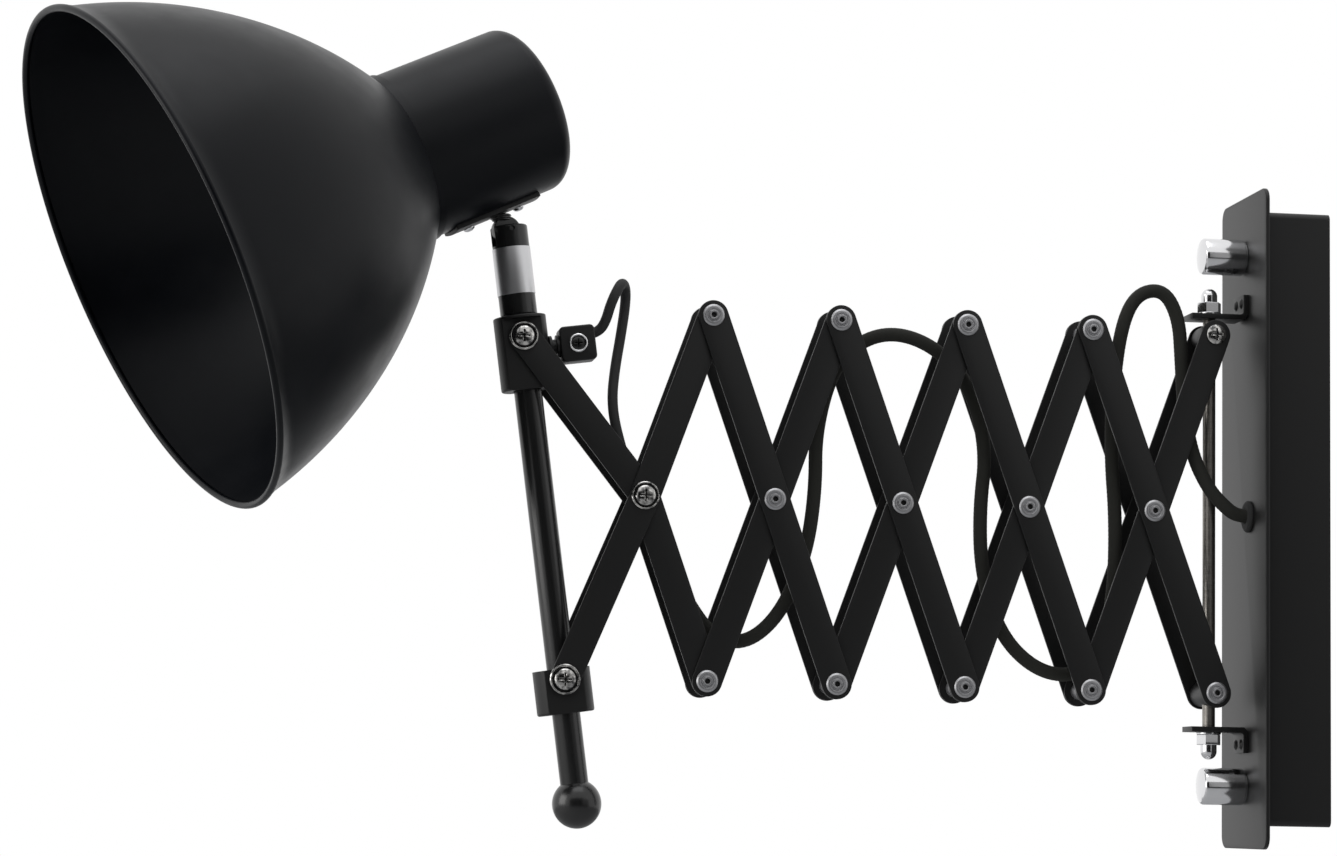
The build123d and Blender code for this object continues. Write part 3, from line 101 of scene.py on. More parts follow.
EYE_RADIUS, EYE_THICKNESS, PIVOT_BELOW_TOP, PIVOT_OUT, NECK_RADIUS = 6.6, 5.0, 2.0, 1.5, 5.4
SHADE_RADIUS, SHADE_WALL, SHADE_DEPTH, SHADE_MIDDLE = 118.5, 1.0, 131.0, (57.5, 98.8)
CUP_RADIUS, CUP_WALL, CUP_START, CUP_END, CUP_ROUND = 39.5, 1.5, 126.0, 201.0, 7.0
PIVOT_ALONG, PIVOT_OFF = 164.5, 49.2
SADDLE_START, SADDLE_END, SADDLE_THICKNESS, SADDLE_WIDTH = 139.0, 184.0, 2.0, 17.0
SADDLE_SCREWS = (148.0, 175.0)
HOLDER_RADIUS, HOLDER_LENGTH, THREAD_RADIUS, THREAD_DEPTH = 19.0, 52.0, 13.25, 25.0
HOLDER_BACK = CUP_END - CUP_WALL - 8.0
HOLDER_FRONT = HOLDER_BACK - HOLDER_LENGTH
SHADE_RING_RADIUS, SHADE_RING_LENGTH = 23.0, 7.0

JOINT_DIAMETER, JOINT_LENGTH = 7.8, 12.0

# ---------------------------------------------------------------- sizes of the finer shapes
PLAY, STEM_GAP = 0.05, 0.2
SHARP_ANGLE, CORD_SHARP_ANGLE = radians(32), radians(60)
# in metres: how near to each other points are merged, and the shortest edge that stays
MERGE_DISTANCE, SMALLEST_EDGE = 2e-7, 1e-7

BOX_CORNER, BOX_EDGE, FACE_INSET, PLATE_EDGE = 3.0, 1.0, 2.0, 0.45
KNOB_CAP, KNOB_NECK, KNOB_LIP = 5.0, 1.2, 0.7
# how far the knob's end has fallen away, and at which radius
KNOB_DOME = (
    (0.0, 0.0), (0.15, KNOB_RADIUS * 0.3), (0.5, KNOB_RADIUS * 0.6), (1.2, KNOB_RADIUS - 0.6),
    (2.2, KNOB_RADIUS),
)
GROMMET_WALL, GROMMET_BACK, GROMMET_OVERLAP, GROMMET_FACE, FLEX_PLAY = 1.9, 1.5, 1.2, 0.6, 0.03
TAB_BEND, TAB_CHAMFER, TAB_EDGE = 1.5, 2.0, 0.3
TAB_RIVET_INSET, TAB_RIVET_SPREAD = 4.0, 4.0
TAB_RIVET_SHANK, TAB_RIVET_RADIUS, TAB_RIVET_HEIGHT, TAB_RIVET_CROWN = 1.45, 2.6, 1.2, 1.4
NUT_EDGE, DOME_ROOT = 0.35, 1.0

# screws: head radius and, where there is one, the radius of the dished ring round the head
TRUNNION_SCREW = 4.7
CROSSING_SCREW, CROSSING_RING = 4.6, 6.7
UPPER_SCREW, UPPER_RING = 4.6, 6.8
LOWER_SCREW, LOWER_RING = 4.8, 7.2
SHANK_RADIUS, SHANK_CLEAR, SHANK_END, CROSSING_NUT = 2.5, 0.3, 0.5, 2.5
# the cross slot: half its width and its reach as shares of the head's radius, its depth, and how far its
# sides and its ends slope
SLOT_WIDE, SLOT_REACH, SLOT_DEPTH, SLOT_SIDE, SLOT_END = 0.1, 0.62, 1.0, 0.25, 0.3
SCREW_DOME, DOME_FALL = 1.9, 0.85
# painted shade in the screws: dark cross plates in the slots (reach as a share of the head's radius,
# thickness, lift), where they sit over the outer face at the trunnion and at the dished rings, and a dark
# ring in the gap round a head (the gap, half the ring's thickness, how far it reaches under the head)
SLOT_SHADOW_REACH, SLOT_SHADOW_THICKNESS, SLOT_SHADOW_LIFT = 0.6, 0.2, 0.55
TRUNNION_SHADOW_FACE, RING_SHADOW_FACE, RING_GAP, RING_GAP_HALF, RING_UNDER = 0.45, 0.5, 0.7, 0.15, 0.3
RIVET_BLIND, RIVET_EDGE, RIVET_SUNK = 1.5, 0.18, 0.6

CLAMP_CORNER, CLAMP_EDGE, CLAMP_SUNK, LEAD_ABOVE = 2.2, 0.8, 3.0, 4.5
CLAMP_SHANK, CLAMP_SPACER, CLAMP_WASHER, CLAMP_WASHER_THICKNESS = 3.0, 3.4, 5.2, 1.4
CLAMP_SCREW, CLAMP_SCREW_DOME, CLAMP_SLOT_DEPTH, CLAMP_SCREW_SEAT = 3.35, 1.1, 0.8, 0.4
CLAMP_SCREW_SHANK, CLAMP_SCREW_LENGTH = 2.0, 5.0
COLLAR_EDGE = 1.2
BALL_SUNK, STEM_SUNK = 8.0, 2.0

NECK_ROOT, NECK_BASE, NECK_RIBS, RIB_GROOVE, RIB_STEP, NECK_SUNK = 2.4, 1.6, 3, 0.6, 0.5, 0.3
SADDLE_GAP, SADDLE_EDGE = 0.02, 0.35
SADDLE_SHANK, SADDLE_SCREW_LENGTH = 1.5, 4.0
# the saddle screw's head: height over the seat, and radius
SADDLE_HEAD = ((1.7, 0.0), (1.5, 1.4), (0.9, 2.5), (0.0, 3.0))
SHADE_NECK, BEAD_RADIUS, BEAD_INSET, BEAD_OPEN, BEAD_POINTS = 4.0, 1.7, 0.3, 40, 3
HOLDER_BORE, HOLDER_CHAMFER, HOLDER_SHOULDER, HOLDER_SKIRT, HOLDER_STEP = 5.0, 5.0, 6.0, 16.0, 1.2
HOLDER_FLOOR, THREAD_GAP, THREAD_PITCH, THREAD_WAVE, THREAD_SHELL = 3.0, 0.4, 3.6, 0.18, 0.35
CONTACT_RADIUS, CONTACT_LIFT = 7.0, 0.4
NIPPLE_RADIUS, NIPPLE_BORE, NIPPLE_FLANGE = 5.0, 3.8, 8.5
SHADE_RING_PLACE = 4.0
# the joint sleeve's end: distance from the end, and how far the surface lies below the radius
JOINT_GRIP = ((0.0, 0.5), (2.4, 0.0), (2.8, 0.35), (3.6, 0.35), (4.0, 0.0))
# a braid thread's height is a sine across it, times BRAID_LOW + BRAID_CROWN times a sine along it
BRAID_LOW, BRAID_CROWN, BRAID_RELIEF, BRAID_MIDDLE = 0.55, 0.45, 0.12, 0.6

# ---------------------------------------------------------------- stage, in metres
# the camera: its right, its up, where it looks, and its place
CAMERA_RIGHT = (0.98907976, -0.14630936, 0.01774265)
CAMERA_UP = (-0.03312352, -0.10336992, 0.99409129)
CAMERA_LOOK = (0.1436108, 0.98382327, 0.10708738)
CAMERA_PLACE = (-0.549097, -1.635118, -0.142986)
SENSOR_WIDTH, NEAREST, FARTHEST = 36.0, 0.05, 50.0
STAGE_CENTRE = (-0.3, 0.0, 0.0)
# each lamp's place, size and colour
LAMPS = {
    "key": ((-2.2, -0.35, 0.35), 1.2, (1.0, 0.99, 0.97)),
    "top": ((-0.35, -0.3, 1.7), 1.4, (0.97, 0.98, 1.0)),
    "fill": ((0.9, -1.7, 0.3), 1.2, (1.0, 1.0, 1.0)),
}
FLOOR_RADIUS, FLOOR_HEIGHT, FLOOR_SIDES, FLOOR_GLOW = 2.6, -0.62, 96, 0.5
CARD_LEFT, CARD_RIGHT, CARD_LOW, CARD_HIGH, CARD_PLACE = -2.4, 2.6, -1.6, 1.1, -2.4

# ---------------------------------------------------------------- places worked out from the sizes
ACROSS, FRONT, UP, OUT = (np.array(v, float) for v in ((1, 0, 0), (0, -1, 0), (0, 0, 1), (-1, 0, 0)))
SIDES = (FRONT, -FRONT)
PITCH = BAR_LENGTH * sin(radians(REACH_ANGLE))
DROP = BAR_LENGTH * cos(radians(REACH_ANGLE))


def top_pivot(i):
    """Upper pivot i, 0 at the spindle."""
    return np.array([SPINDLE_X - i * PITCH, 0.0, PIVOT_HEIGHT])


def bottom_pivot(i):
    """Lower pivot i, 0 at the spindle."""
    return top_pivot(i) - UP * DROP


def middle_pivot(i):
    """Crossing i of the bars, from 1."""
    return (top_pivot(i - 1) + bottom_pivot(i)) / 2


def leaning(angle):
    """Unit vector in the lattice's plane, angle degrees from up toward the lamp."""
    return np.array([-sin(radians(angle)), 0.0, cos(radians(angle))])


LAMP_TOP = middle_pivot(UNITS) + END_ARM * leaning(REACH_ANGLE + RISING_CRANK)
LAMP_BOTTOM = middle_pivot(UNITS) - END_ARM * leaning(-REACH_ANGLE - FALLING_CRANK)
TUBE_UP = leaning((RISING_CRANK - FALLING_CRANK) / 2)
TUBE_IN = np.cross(-FRONT, TUBE_UP)
STEM_FOOT = LAMP_TOP + TUBE_UP * (UPPER_COLLAR["above"] + STEM_GAP)
STEM_TOP = STEM_FOOT + TUBE_UP * STEM_LENGTH
BALL_CENTRE = LAMP_BOTTOM - TUBE_UP * BALL_DROP
TILT_AXIS = -FRONT * cos(TURN) - TUBE_IN * sin(TURN)
OUTWARD = -np.cross(TILT_AXIS, TUBE_UP)
HEAD_BACK = -OUTWARD * cos(TILT) + TUBE_UP * sin(TILT)
HEAD_UP = OUTWARD * sin(TILT) + TUBE_UP * cos(TILT)
TILT_PIVOT = STEM_TOP - TUBE_UP * PIVOT_BELOW_TOP + OUTWARD * PIVOT_OUT
RIM_CENTRE = TILT_PIVOT + HEAD_UP * PIVOT_OFF - HEAD_BACK * PIVOT_ALONG
CLAMP_AXIS = LAMP_TOP - TUBE_UP * CLAMP_DOWN
CLAMP_CENTRE = CLAMP_AXIS + TUBE_IN * CLAMP_OUT
LEAD_EXIT = CLAMP_CENTRE + TUBE_IN * CLAMP_SIZE / 2 + TUBE_UP * LEAD_ABOVE

# ---------------------------------------------------------------- cord routes
LEAD_ROUTE = [
    tuple(LEAD_EXIT),
    tuple(LEAD_EXIT + TUBE_IN * 3.4 + TUBE_UP * 0.8),
    (-340.9, -2.4, 84.4),
    (-339.6, -5.6, 90.5),
    (-337.0, -6.0, 97.0),
    (-333.8, -2.6, 102.4),
    (-331.2, 4.0, 100.4),
    (-331.0, 5.8, 92.5),
    (-333.0, 5.2, 78.0),
    (-335.8, 3.2, 61.5),
    (-337.2, 0.8, 46.5),
    (-334.6, 0, 31.5),
    (-329.6, 0, 16.5),
]
JOINT_START = np.array(LEAD_ROUTE[-1])
JOINT_AXIS = (JOINT_START - LEAD_ROUTE[-2]) / np.linalg.norm(JOINT_START - LEAD_ROUTE[-2])
JOINT_END = JOINT_START + JOINT_AXIS * JOINT_LENGTH
FLEX_ROUTE = [
    tuple(JOINT_END),
    tuple(JOINT_END + JOINT_AXIS * 11),
    (-311.5, 0, -26.0),
    (-300.0, 0, -46.0),
    (-288.0, 0, -62.0),
    (-272.0, 0, -64.5),
    (-256.0, 0, -50.0),
    (-244.5, 0, -22.0),
    (-240.5, 0, 8.0),
    (-240.9, 0, 36.0),
    (-233.0, 0, 66.0),
    (-219.0, 0, 80.0),
    (-202.0, 0, 84.0),
    (-183.0, 0, 77.0),
    (-167.0, 0, 60.0),
    (-158.8, 0, 30.0),
    (-162.0, 0, 2.0),
    (-161.0, 0, -28.0),
    (-152.0, 0, -57.0),
    (-134.0, 0, -74.0),
    (-114.0, 0, -76.0),
    (-101.5, 0, -62.0),
    (-96.8, 0, -36.0),
    (-96.0, 0, -2.0),
    (-98.6, 0, 30.0),
    (-97.6, 0, 62.0),
    (-93.5, 0, 92.0),
    (-86.0, 0, 107.0),
    (-73.0, 0, 109.5),
    (-65.5, 0, 96.0),
    (-64.2, 0, 76.0),
    (-63.5, -2.0, 52.0),
    (-60.5, -5.5, 30.0),
    (-53.0, -6.9, 14.0),
    (-45.5, -8.6, 5.5),
    (-39.2, GROMMET_Y, GROMMET_Z),
    (-22.0, GROMMET_Y, GROMMET_Z),
    (-12.0, GROMMET_Y, -9.0),
    (-12.0, GROMMET_Y, -18.0),
]
# one entry for each stretch of the flex: the bodies at its start and at its end, and two points of the flex;
# each cut between stretches lies midway between one entry's second point and the next entry's first
FLEX_BENDS = [
    ("up_5", "down_4", (-294.0, 0, -60.0), (-266.0, 0, -60.0)),
    ("down_4", "up_3", (-240.0, 0, 46.0), (-226.0, 0, 74.0)),
    ("up_3", "down_3", (-222.0, 0, 79.0), (-186.0, 0, 79.0)),
    ("down_3", "up_2", (-177.0, 0, 72.0), (-161.0, 0, 44.0)),
    ("up_2", "down_1", (-130.0, 0, -74.0), (-103.0, 0, -68.0)),
    ("down_1", "spindle", (-88.0, 0, 100.0), (-66.0, 0, 100.0)),
    ("spindle", "root", (-61.5, -4.5, 35.0), (-47.0, -8.0, 7.0)),
]


# ---------------------------------------------------------------- sizes and colours that a user would change
class LampFinishes(bpy.types.PropertyGroup):
    """Colours and surface qualities."""

    coat: bpy.props.FloatVectorProperty(
        name="Powder coat", description="Colour of the black powder coat", subtype="COLOR",
        size=3, min=0, max=1, default=(0.003, 0.0029, 0.0026))
    coat_roughness: bpy.props.FloatProperty(
        name="Coat roughness", description="Roughness of the powder coat", default=0.42, min=0, max=1,
        subtype="FACTOR")
    coat_shine: bpy.props.FloatProperty(
        name="Coat shine", description="Specular level of the powder coat", default=0.12, min=0, max=1,
        subtype="FACTOR")
    chrome: bpy.props.FloatVectorProperty(
        name="Chrome", description="Colour of the plated parts", subtype="COLOR", size=3, min=0, max=1,
        default=(0.82, 0.82, 0.83))
    steel: bpy.props.FloatVectorProperty(
        name="Rivet steel", description="Colour of the rivets", subtype="COLOR", size=3, min=0, max=1,
        default=(0.9, 0.9, 0.89))
    braid: bpy.props.FloatVectorProperty(
        name="Braid", description="Colour of the flex's threads", subtype="COLOR", size=3, min=0, max=1,
        default=(0.03, 0.029, 0.027))


class LampCords(bpy.types.PropertyGroup):
    """The two cords."""

    lead_diameter: bpy.props.FloatProperty(
        name="Lead", description="Diameter of the smooth lead", default=0.0048, min=0.002, unit="LENGTH")
    flex_diameter: bpy.props.FloatProperty(
        name="Flex", description="Diameter of the braided flex", default=0.0065, min=0.002, unit="LENGTH")
    threads: bpy.props.IntProperty(
        name="Threads", description="Braid crossings counted round the flex", default=10, min=4)
    ring_spacing: bpy.props.FloatProperty(
        name="Ring spacing", description="Distance between a cord's rings", default=0.0006, min=0.0002,
        unit="LENGTH")


class LampEdges(bpy.types.PropertyGroup):
    """How edges and turned surfaces are rounded."""

    sheet_edge: bpy.props.FloatProperty(
        name="Sheet edge", description="Rounding of sheet metal edges", default=0.00028, min=0, unit="LENGTH")
    turned_steps: bpy.props.IntProperty(
        name="Turned steps", description="Sides of a small turned part", default=72, min=16)
    shade_steps: bpy.props.IntProperty(
        name="Shade steps", description="Sides of the shade and the cup", default=240, min=48)


class LampStudio(bpy.types.PropertyGroup):
    """Camera and lamps."""

    lens: bpy.props.FloatProperty(
        name="Lens", description="Focal length in millimetres", default=96.2, min=10)
    ambient: bpy.props.FloatProperty(
        name="Ambient", description="Strength of the light from all round", default=0.3, min=0)
    key: bpy.props.FloatProperty(
        name="Key light", description="Power of the lamp at the left", default=14.0, min=0, unit="POWER")
    top: bpy.props.FloatProperty(
        name="Top light", description="Power of the lamp above", default=8.0, min=0, unit="POWER")
    fill: bpy.props.FloatProperty(
        name="Fill light", description="Power of the lamp at the front", default=1.5, min=0, unit="POWER")


# ---------------------------------------------------------------- surfaces
def unit(vector):
    """The vector at length 1."""
    return vector / np.linalg.norm(vector)


def grid(points, close_rows=False, close_columns=False):
    """Shell over a grid of points: face (i, j) joins points (i, j), (i+1, j), (i+1, j+1) and (i, j+1)."""
    rows, columns = points.shape[:2]
    index = np.arange(rows * columns).reshape(rows, columns)
    if close_rows:
        index = np.vstack([index, index[:1]])
    if close_columns:
        index = np.hstack([index, index[:, :1]])
    quads = np.stack([index[:-1, :-1], index[1:, :-1], index[1:, 1:], index[:-1, 1:]], axis=-1)
    return points.reshape(-1, 3), quads.reshape(-1, 4).tolist()


def rounded(profile, radius, steps=4):
    """Profile with its corners eased: corner c becomes (1-t)^2 a + 2t(1-t) c + t^2 b, where a and b lie
    radius back along its two sides, or 0.45 of a shorter side. Points on the axis stay."""
    profile = np.array(profile, float)
    before, after = np.roll(profile, 1, axis=0) - profile, np.roll(profile, -1, axis=0) - profile
    before_length = np.maximum(np.linalg.norm(before, axis=1, keepdims=True), 1e-9)
    after_length = np.maximum(np.linalg.norm(after, axis=1, keepdims=True), 1e-9)
    reach = np.minimum(radius, 0.45 * np.minimum(before_length, after_length))
    reach[profile[:, 1] <= 1e-9] = 0
    a, b = profile + before / before_length * reach, profile + after / after_length * reach
    t = np.linspace(0, 1, steps + 1)[None, :, None]
    curve = (1 - t) ** 2 * a[:, None] + 2 * t * (1 - t) * profile[:, None] + t ** 2 * b[:, None]
    curve = curve.reshape(-1, 2)
    keep = np.linalg.norm(curve - np.roll(curve, 1, axis=0), axis=1) > 1e-6
    return curve[keep]


def turned(profile, origin, along, across, steps=None, edge=0.25):
    """Closed profile of (distance, radius) turned about a line:
    point(s, a) = origin + x(s) along + r(s) (cos a across + sin a (along x across))."""
    steps = steps or bpy.context.scene.lamp_edges.turned_steps
    profile = rounded(profile, edge) if edge else np.array(profile, float)
    angle = np.linspace(0, 2 * pi, steps, endpoint=False)
    ring = np.cos(angle)[:, None] * across + np.sin(angle)[:, None] * np.cross(along, across)
    points = origin + profile[:, :1, None] * along + profile[:, 1:, None] * ring[None]
    return grid(points, close_rows=True, close_columns=True)


def rod(start, end, outer, inner=0.0):
    """Profile of a plain rod or tube."""
    return [(start, inner), (end, inner), (end, outer), (start, outer)]


def carried(outline, profile, origin, x_dir, y_dir):
    """Profile of (inset, height) carried round a closed outline, with a flat cap on both ends:
    point(i, j) = origin + (outline(i) - inset(j) n(i)) in the plane + height(j) (x_dir x y_dir)."""
    outline, profile = np.array(outline, float), np.array(profile, float)
    before = outline - np.roll(outline, 1, axis=0)
    after = np.roll(outline, -1, axis=0) - outline
    before /= np.linalg.norm(before, axis=1, keepdims=True)
    after /= np.linalg.norm(after, axis=1, keepdims=True)
    turned_in = np.stack([before[:, 1] + after[:, 1], -before[:, 0] - after[:, 0]], axis=1)
    normal = turned_in / (1 + (before * after).sum(axis=1, keepdims=True))
    flat = outline[None] - profile[:, 0, None, None] * normal[None]
    points = (
        origin + flat[..., :1] * x_dir + flat[..., 1:] * y_dir
        + profile[:, 1, None, None] * np.cross(x_dir, y_dir)
    )
    shell, faces = grid(points, close_columns=True)
    count = len(outline)
    last = (len(profile) - 1) * count
    return shell, faces + [list(range(count)), list(range(last, last + count))]


def sheet_edge(thickness, edge=None, steps=4):
    """Profile of a sheet's rim: quarter circles of the edge radius on both sides."""
    edge = edge or bpy.context.scene.lamp_edges.sheet_edge / MM
    turn = np.linspace(0, pi / 2, steps + 1)
    low = np.stack([edge - edge * np.sin(turn), edge - edge * np.cos(turn)], axis=1)
    high = np.stack([low[::-1, 0], thickness - low[::-1, 1]], axis=1)
    return np.vstack([low, high])


def arc(centre, radius, start, end, steps):
    """Points of an arc from start to end, in degrees."""
    angle = np.radians(np.linspace(start, end, steps))
    return np.stack([centre[0] + radius * np.cos(angle), centre[1] + radius * np.sin(angle)], axis=1)


def rounded_rectangle(width, height, radius, steps=10, centre=(0.0, 0.0)):
    """Counterclockwise outline: a quarter circle at each corner."""
    x, y = width / 2 - radius, height / 2 - radius
    corners = [(x, y, 0), (-x, y, 90), (-x, -y, 180), (x, -y, 270)]
    return np.vstack([
        arc((centre[0] + cx, centre[1] + cy), radius, start, start + 90, steps) for cx, cy, start in corners
    ])


def bar_outline(holes, steps=24):
    """Counterclockwise outline at half a bar's width round a line of two or three holes: half circles at the
    ends, and at a bend an arc outside and the mitre point inside."""
    holes = np.array([(p[0], p[2]) for p in holes])
    half = BAR_WIDTH / 2
    runs = np.diff(holes, axis=0)
    lean = np.degrees(np.arctan2(runs[:, 1], runs[:, 0]))
    outline = []
    for points, leans in ((holes, lean), (holes[::-1], lean[::-1] + 180)):
        for k in range(1, len(points) - 1):
            turn = (leans[k] - leans[k - 1] + 180) % 360 - 180
            if abs(turn) < 0.01:
                continue
            right = leans[k - 1] - 90
            if turn > 0:
                outline.append(arc(points[k], half, right, right + turn, 8))
            else:
                middle = right + turn / 2
                outline.append(arc(points[k], half / cos(radians(turn / 2)), middle, middle, 1))
        outline.append(arc(points[-1], half, leans[-1] - 90, leans[-1] + 90, steps))
    return np.vstack(outline)


def disc_grid(radius, cells):
    """Square grid laid on a disc: x = u sqrt(1 - v^2/2), y = v sqrt(1 - u^2/2)."""
    u, v = np.meshgrid(np.linspace(-1, 1, cells + 1), np.linspace(-1, 1, cells + 1), indexing="ij")
    return radius * u * np.sqrt(1 - v ** 2 / 2), radius * v * np.sqrt(1 - u ** 2 / 2)


def step(distance, softness):
    """0 below 0, 1 above the softness, and a smooth curve between."""
    t = np.clip(distance / softness, 0, 1)
    return t * t * (3 - 2 * t)


def slotted_head(centre, direction, seat, radius, height, recess=SLOT_DEPTH, cells=44):
    """Round screw head: z(x, y) = height sqrt(1 - 0.85 r^2) - recess where |x| or |y| lies in the cross slot.
    The outer ring of the disc goes straight down to the seat."""
    x, y = disc_grid(radius, cells)
    across = sideways(direction)
    other = np.cross(direction, across)
    dome = height * np.sqrt(1 - DOME_FALL * (x * x + y * y) / radius ** 2)
    wide, reach = radius * SLOT_WIDE, radius * SLOT_REACH
    lengthwise = step(wide - np.abs(y), SLOT_SIDE) * step(reach - np.abs(x), SLOT_END)
    crosswise = step(wide - np.abs(x), SLOT_SIDE) * step(reach - np.abs(y), SLOT_END)
    rise = seat + dome - recess * np.maximum(lengthwise, crosswise)
    points, faces = grid(centre + x[..., None] * across + y[..., None] * other + rise[..., None] * direction)
    index = np.arange(len(points)).reshape(cells + 1, cells + 1)
    border = np.concatenate([index[0, :-1], index[:-1, -1], index[-1, :0:-1], index[:0:-1, 0]])
    foot = centre + x.ravel()[border, None] * across + y.ravel()[border, None] * other + seat * direction
    low = len(points) + np.arange(len(border))
    walls = np.stack([border, np.roll(border, -1), np.roll(low, -1), low], axis=1).tolist()
    return np.vstack([points, foot]), faces + walls + [low.tolist()]


def sideways(direction):
    """Unit vector across a direction: level where the direction isn't upright."""
    return unit(np.cross(direction, UP)) if abs(direction @ UP) < 0.9 else ACROSS


def slot_shadow_plate(centre, direction, height, radius):
    """Painted shade: dark cross-shaped plate at the bottom of a screw's slot, a twelve-cornered outline
    carried up.
    """
    across = sideways(direction)
    wide, reach = radius * SLOT_WIDE, radius * SLOT_SHADOW_REACH
    quarter = np.array([(reach, -wide), (reach, wide), (wide, wide)])
    turns = [np.array([[cos(a), sin(a)], [-sin(a), cos(a)]]) for a in np.arange(4) * pi / 2]
    outline = np.vstack([quarter @ turn for turn in turns])
    return carried(outline, [(0, 0), (0, SLOT_SHADOW_THICKNESS)], centre + direction * height, across,
                   np.cross(direction, across))


def ball(centre, radius, steps):
    """Sphere: point(a, b) = centre + radius (sin a cos b, sin a sin b, cos a)."""
    turn = np.linspace(0, pi, steps // 2 + 1)
    profile = np.stack([-radius * np.cos(turn), radius * np.sin(turn)], axis=1)
    return turned(profile, centre, TUBE_UP, TUBE_IN, steps=steps, edge=0)


def placed(name, mesh, finish):
    """Object at the origin that holds the mesh with its finish."""
    mesh.materials.append(FINISH[finish]())
    obj = bpy.data.objects.new(name, mesh)
    bpy.context.scene.collection.objects.link(obj)
    return obj


def piece(name, shells, body, finish, replaced):
    """One object made of closed shells, riding on a body. Each shell is merged and turned outwards alone."""
    whole = bmesh.new()
    for points, faces in shells:
        part = bpy.data.meshes.new("part")
        part.from_pydata(np.asarray(points) * MM, [], faces)
        work = bmesh.new()
        work.from_mesh(part)
        bmesh.ops.remove_doubles(work, verts=work.verts, dist=MERGE_DISTANCE)
        bmesh.ops.dissolve_degenerate(work, dist=SMALLEST_EDGE, edges=work.edges)
        bmesh.ops.recalc_face_normals(work, faces=work.faces)
        work.to_mesh(part)
        work.free()
        whole.from_mesh(part)
        bpy.data.meshes.remove(part)
    mesh = bpy.data.meshes.new(name)
    whole.to_mesh(mesh)
    whole.free()
    mesh.shade_smooth()
    mesh.set_sharp_from_angle(angle=SHARP_ANGLE)
    obj = placed(name, mesh, finish)
    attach(obj, body)
    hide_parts(*replaced)
    return obj


# ---------------------------------------------------------------- finishes
def new_material(name, **values):
    """Material with one Principled shader whose sockets hold the given constants."""
    material = bpy.data.materials.get(name)
    if material:
        return material, None, None
    material = bpy.data.materials.new(name)
    material.use_nodes = True
    nodes = material.node_tree.nodes
    shader = nodes["Principled BSDF"]
    for key, value in values.items():
        socket = shader.inputs[key.replace("_", " ").title().replace("Ior", "IOR")]
        socket.default_value = (*value, 1.0) if hasattr(value, "__len__") else value
    return material, nodes, shader


def link(material, source, target):
    """Join two sockets."""
    material.node_tree.links.new(source, target)


def noise(material, scale, detail=3.0, roughness=0.55, stretch=(1, 1, 1)):
    """Noise over the piece, scale in repeats per metre."""
    kinds = ("ShaderNodeTexCoord", "ShaderNodeMapping", "ShaderNodeTexNoise")
    place, mapping, texture = (material.node_tree.nodes.new(kind) for kind in kinds)
    mapping.inputs["Scale"].default_value = stretch
    texture.inputs["Scale"].default_value = scale
    texture.inputs["Detail"].default_value = detail
    texture.inputs["Roughness"].default_value = roughness
    link(material, place.outputs["Object"], mapping.inputs["Vector"])
    link(material, mapping.outputs["Vector"], texture.inputs["Vector"])
    return texture.outputs["Fac"]


def ranged(material, source, low, high, start=0.3, end=0.7):
    """The source's span from start to end, mapped to low to high."""
    node = material.node_tree.nodes.new("ShaderNodeMapRange")
    for key, value in (("From Min", start), ("From Max", end), ("To Min", low), ("To Max", high)):
        node.inputs[key].default_value = value
    link(material, source, node.inputs["Value"])
    return node.outputs["Result"]


def blended(material, factor, first, second):
    """Colour between first and second."""
    node = material.node_tree.nodes.new("ShaderNodeMix")
    node.data_type = "RGBA"
    node.inputs["A"].default_value = (*first, 1)
    node.inputs["B"].default_value = (*second, 1)
    link(material, factor, node.inputs["Factor"])
    return node.outputs["Result"]


def mottled(material, shader, pattern, first, second):
    """Base colour between first and second, where the pattern goes from 0 to 1."""
    link(material, blended(material, pattern, first, second), shader.inputs["Base Color"])


def worn(material, shader, scale, low, high, detail=3.0, roughness=0.55):
    """Roughness between low and high, in patches."""
    patches = noise(material, scale, detail, roughness)
    link(material, ranged(material, patches, low, high), shader.inputs["Roughness"])


def bumped(material, shader, height, strength, distance):
    """Bump from a height, distance in metres."""
    node = material.node_tree.nodes.new("ShaderNodeBump")
    node.inputs["Strength"].default_value = strength
    node.inputs["Distance"].default_value = distance
    link(material, height, node.inputs["Height"])
    link(material, node.outputs["Normal"], shader.inputs["Normal"])


def powder_coat():
    """Satin black powder coat: fine orange peel, patches of slightly different sheen."""
    look = bpy.context.scene.lamp_finishes
    material, nodes, shader = new_material(
        "black_coat", specular_ior_level=look.coat_shine, roughness=look.coat_roughness)
    if nodes:
        patches = ranged(material, noise(material, 45, 4, 0.6), 0, 1, 0.42, 0.75)
        mottled(material, shader, patches, tuple(look.coat), tuple(c * 1.9 for c in look.coat))
        worn(material, shader, 130, look.coat_roughness - 0.05, look.coat_roughness + 0.05, 3, 0.6)
        bumped(material, shader, noise(material, 1700, 2, 0.5), 0.22, 0.00006)
    return material


def gloss_black():
    """Glossy black enamel on the ball, the tube and the stem."""
    material, nodes, shader = new_material(
        "gloss_black", base_color=(0.003, 0.003, 0.0034), specular_ior_level=0.3, roughness=0.2,
        coat_weight=0.2, coat_roughness=0.1)
    if nodes:
        worn(material, shader, 160, 0.16, 0.26, 4)
        bumped(material, shader, noise(material, 900, 2), 0.1, 0.00004)
    return material


def shade_coat():
    """The shade's and the cup's satin black, with a faint blue cast and the finest orange peel."""
    material, nodes, shader = new_material("shade_coat", specular_ior_level=0.16, roughness=0.36)
    if nodes:
        patches = ranged(material, noise(material, 18, 4, 0.6), 0, 1, 0.35, 0.75)
        mottled(material, shader, patches, (0.0016, 0.0022, 0.0036), (0.0028, 0.0036, 0.0055))
        worn(material, shader, 60, 0.33, 0.4)
        bumped(material, shader, noise(material, 1500, 2), 0.16, 0.00006)
    return material


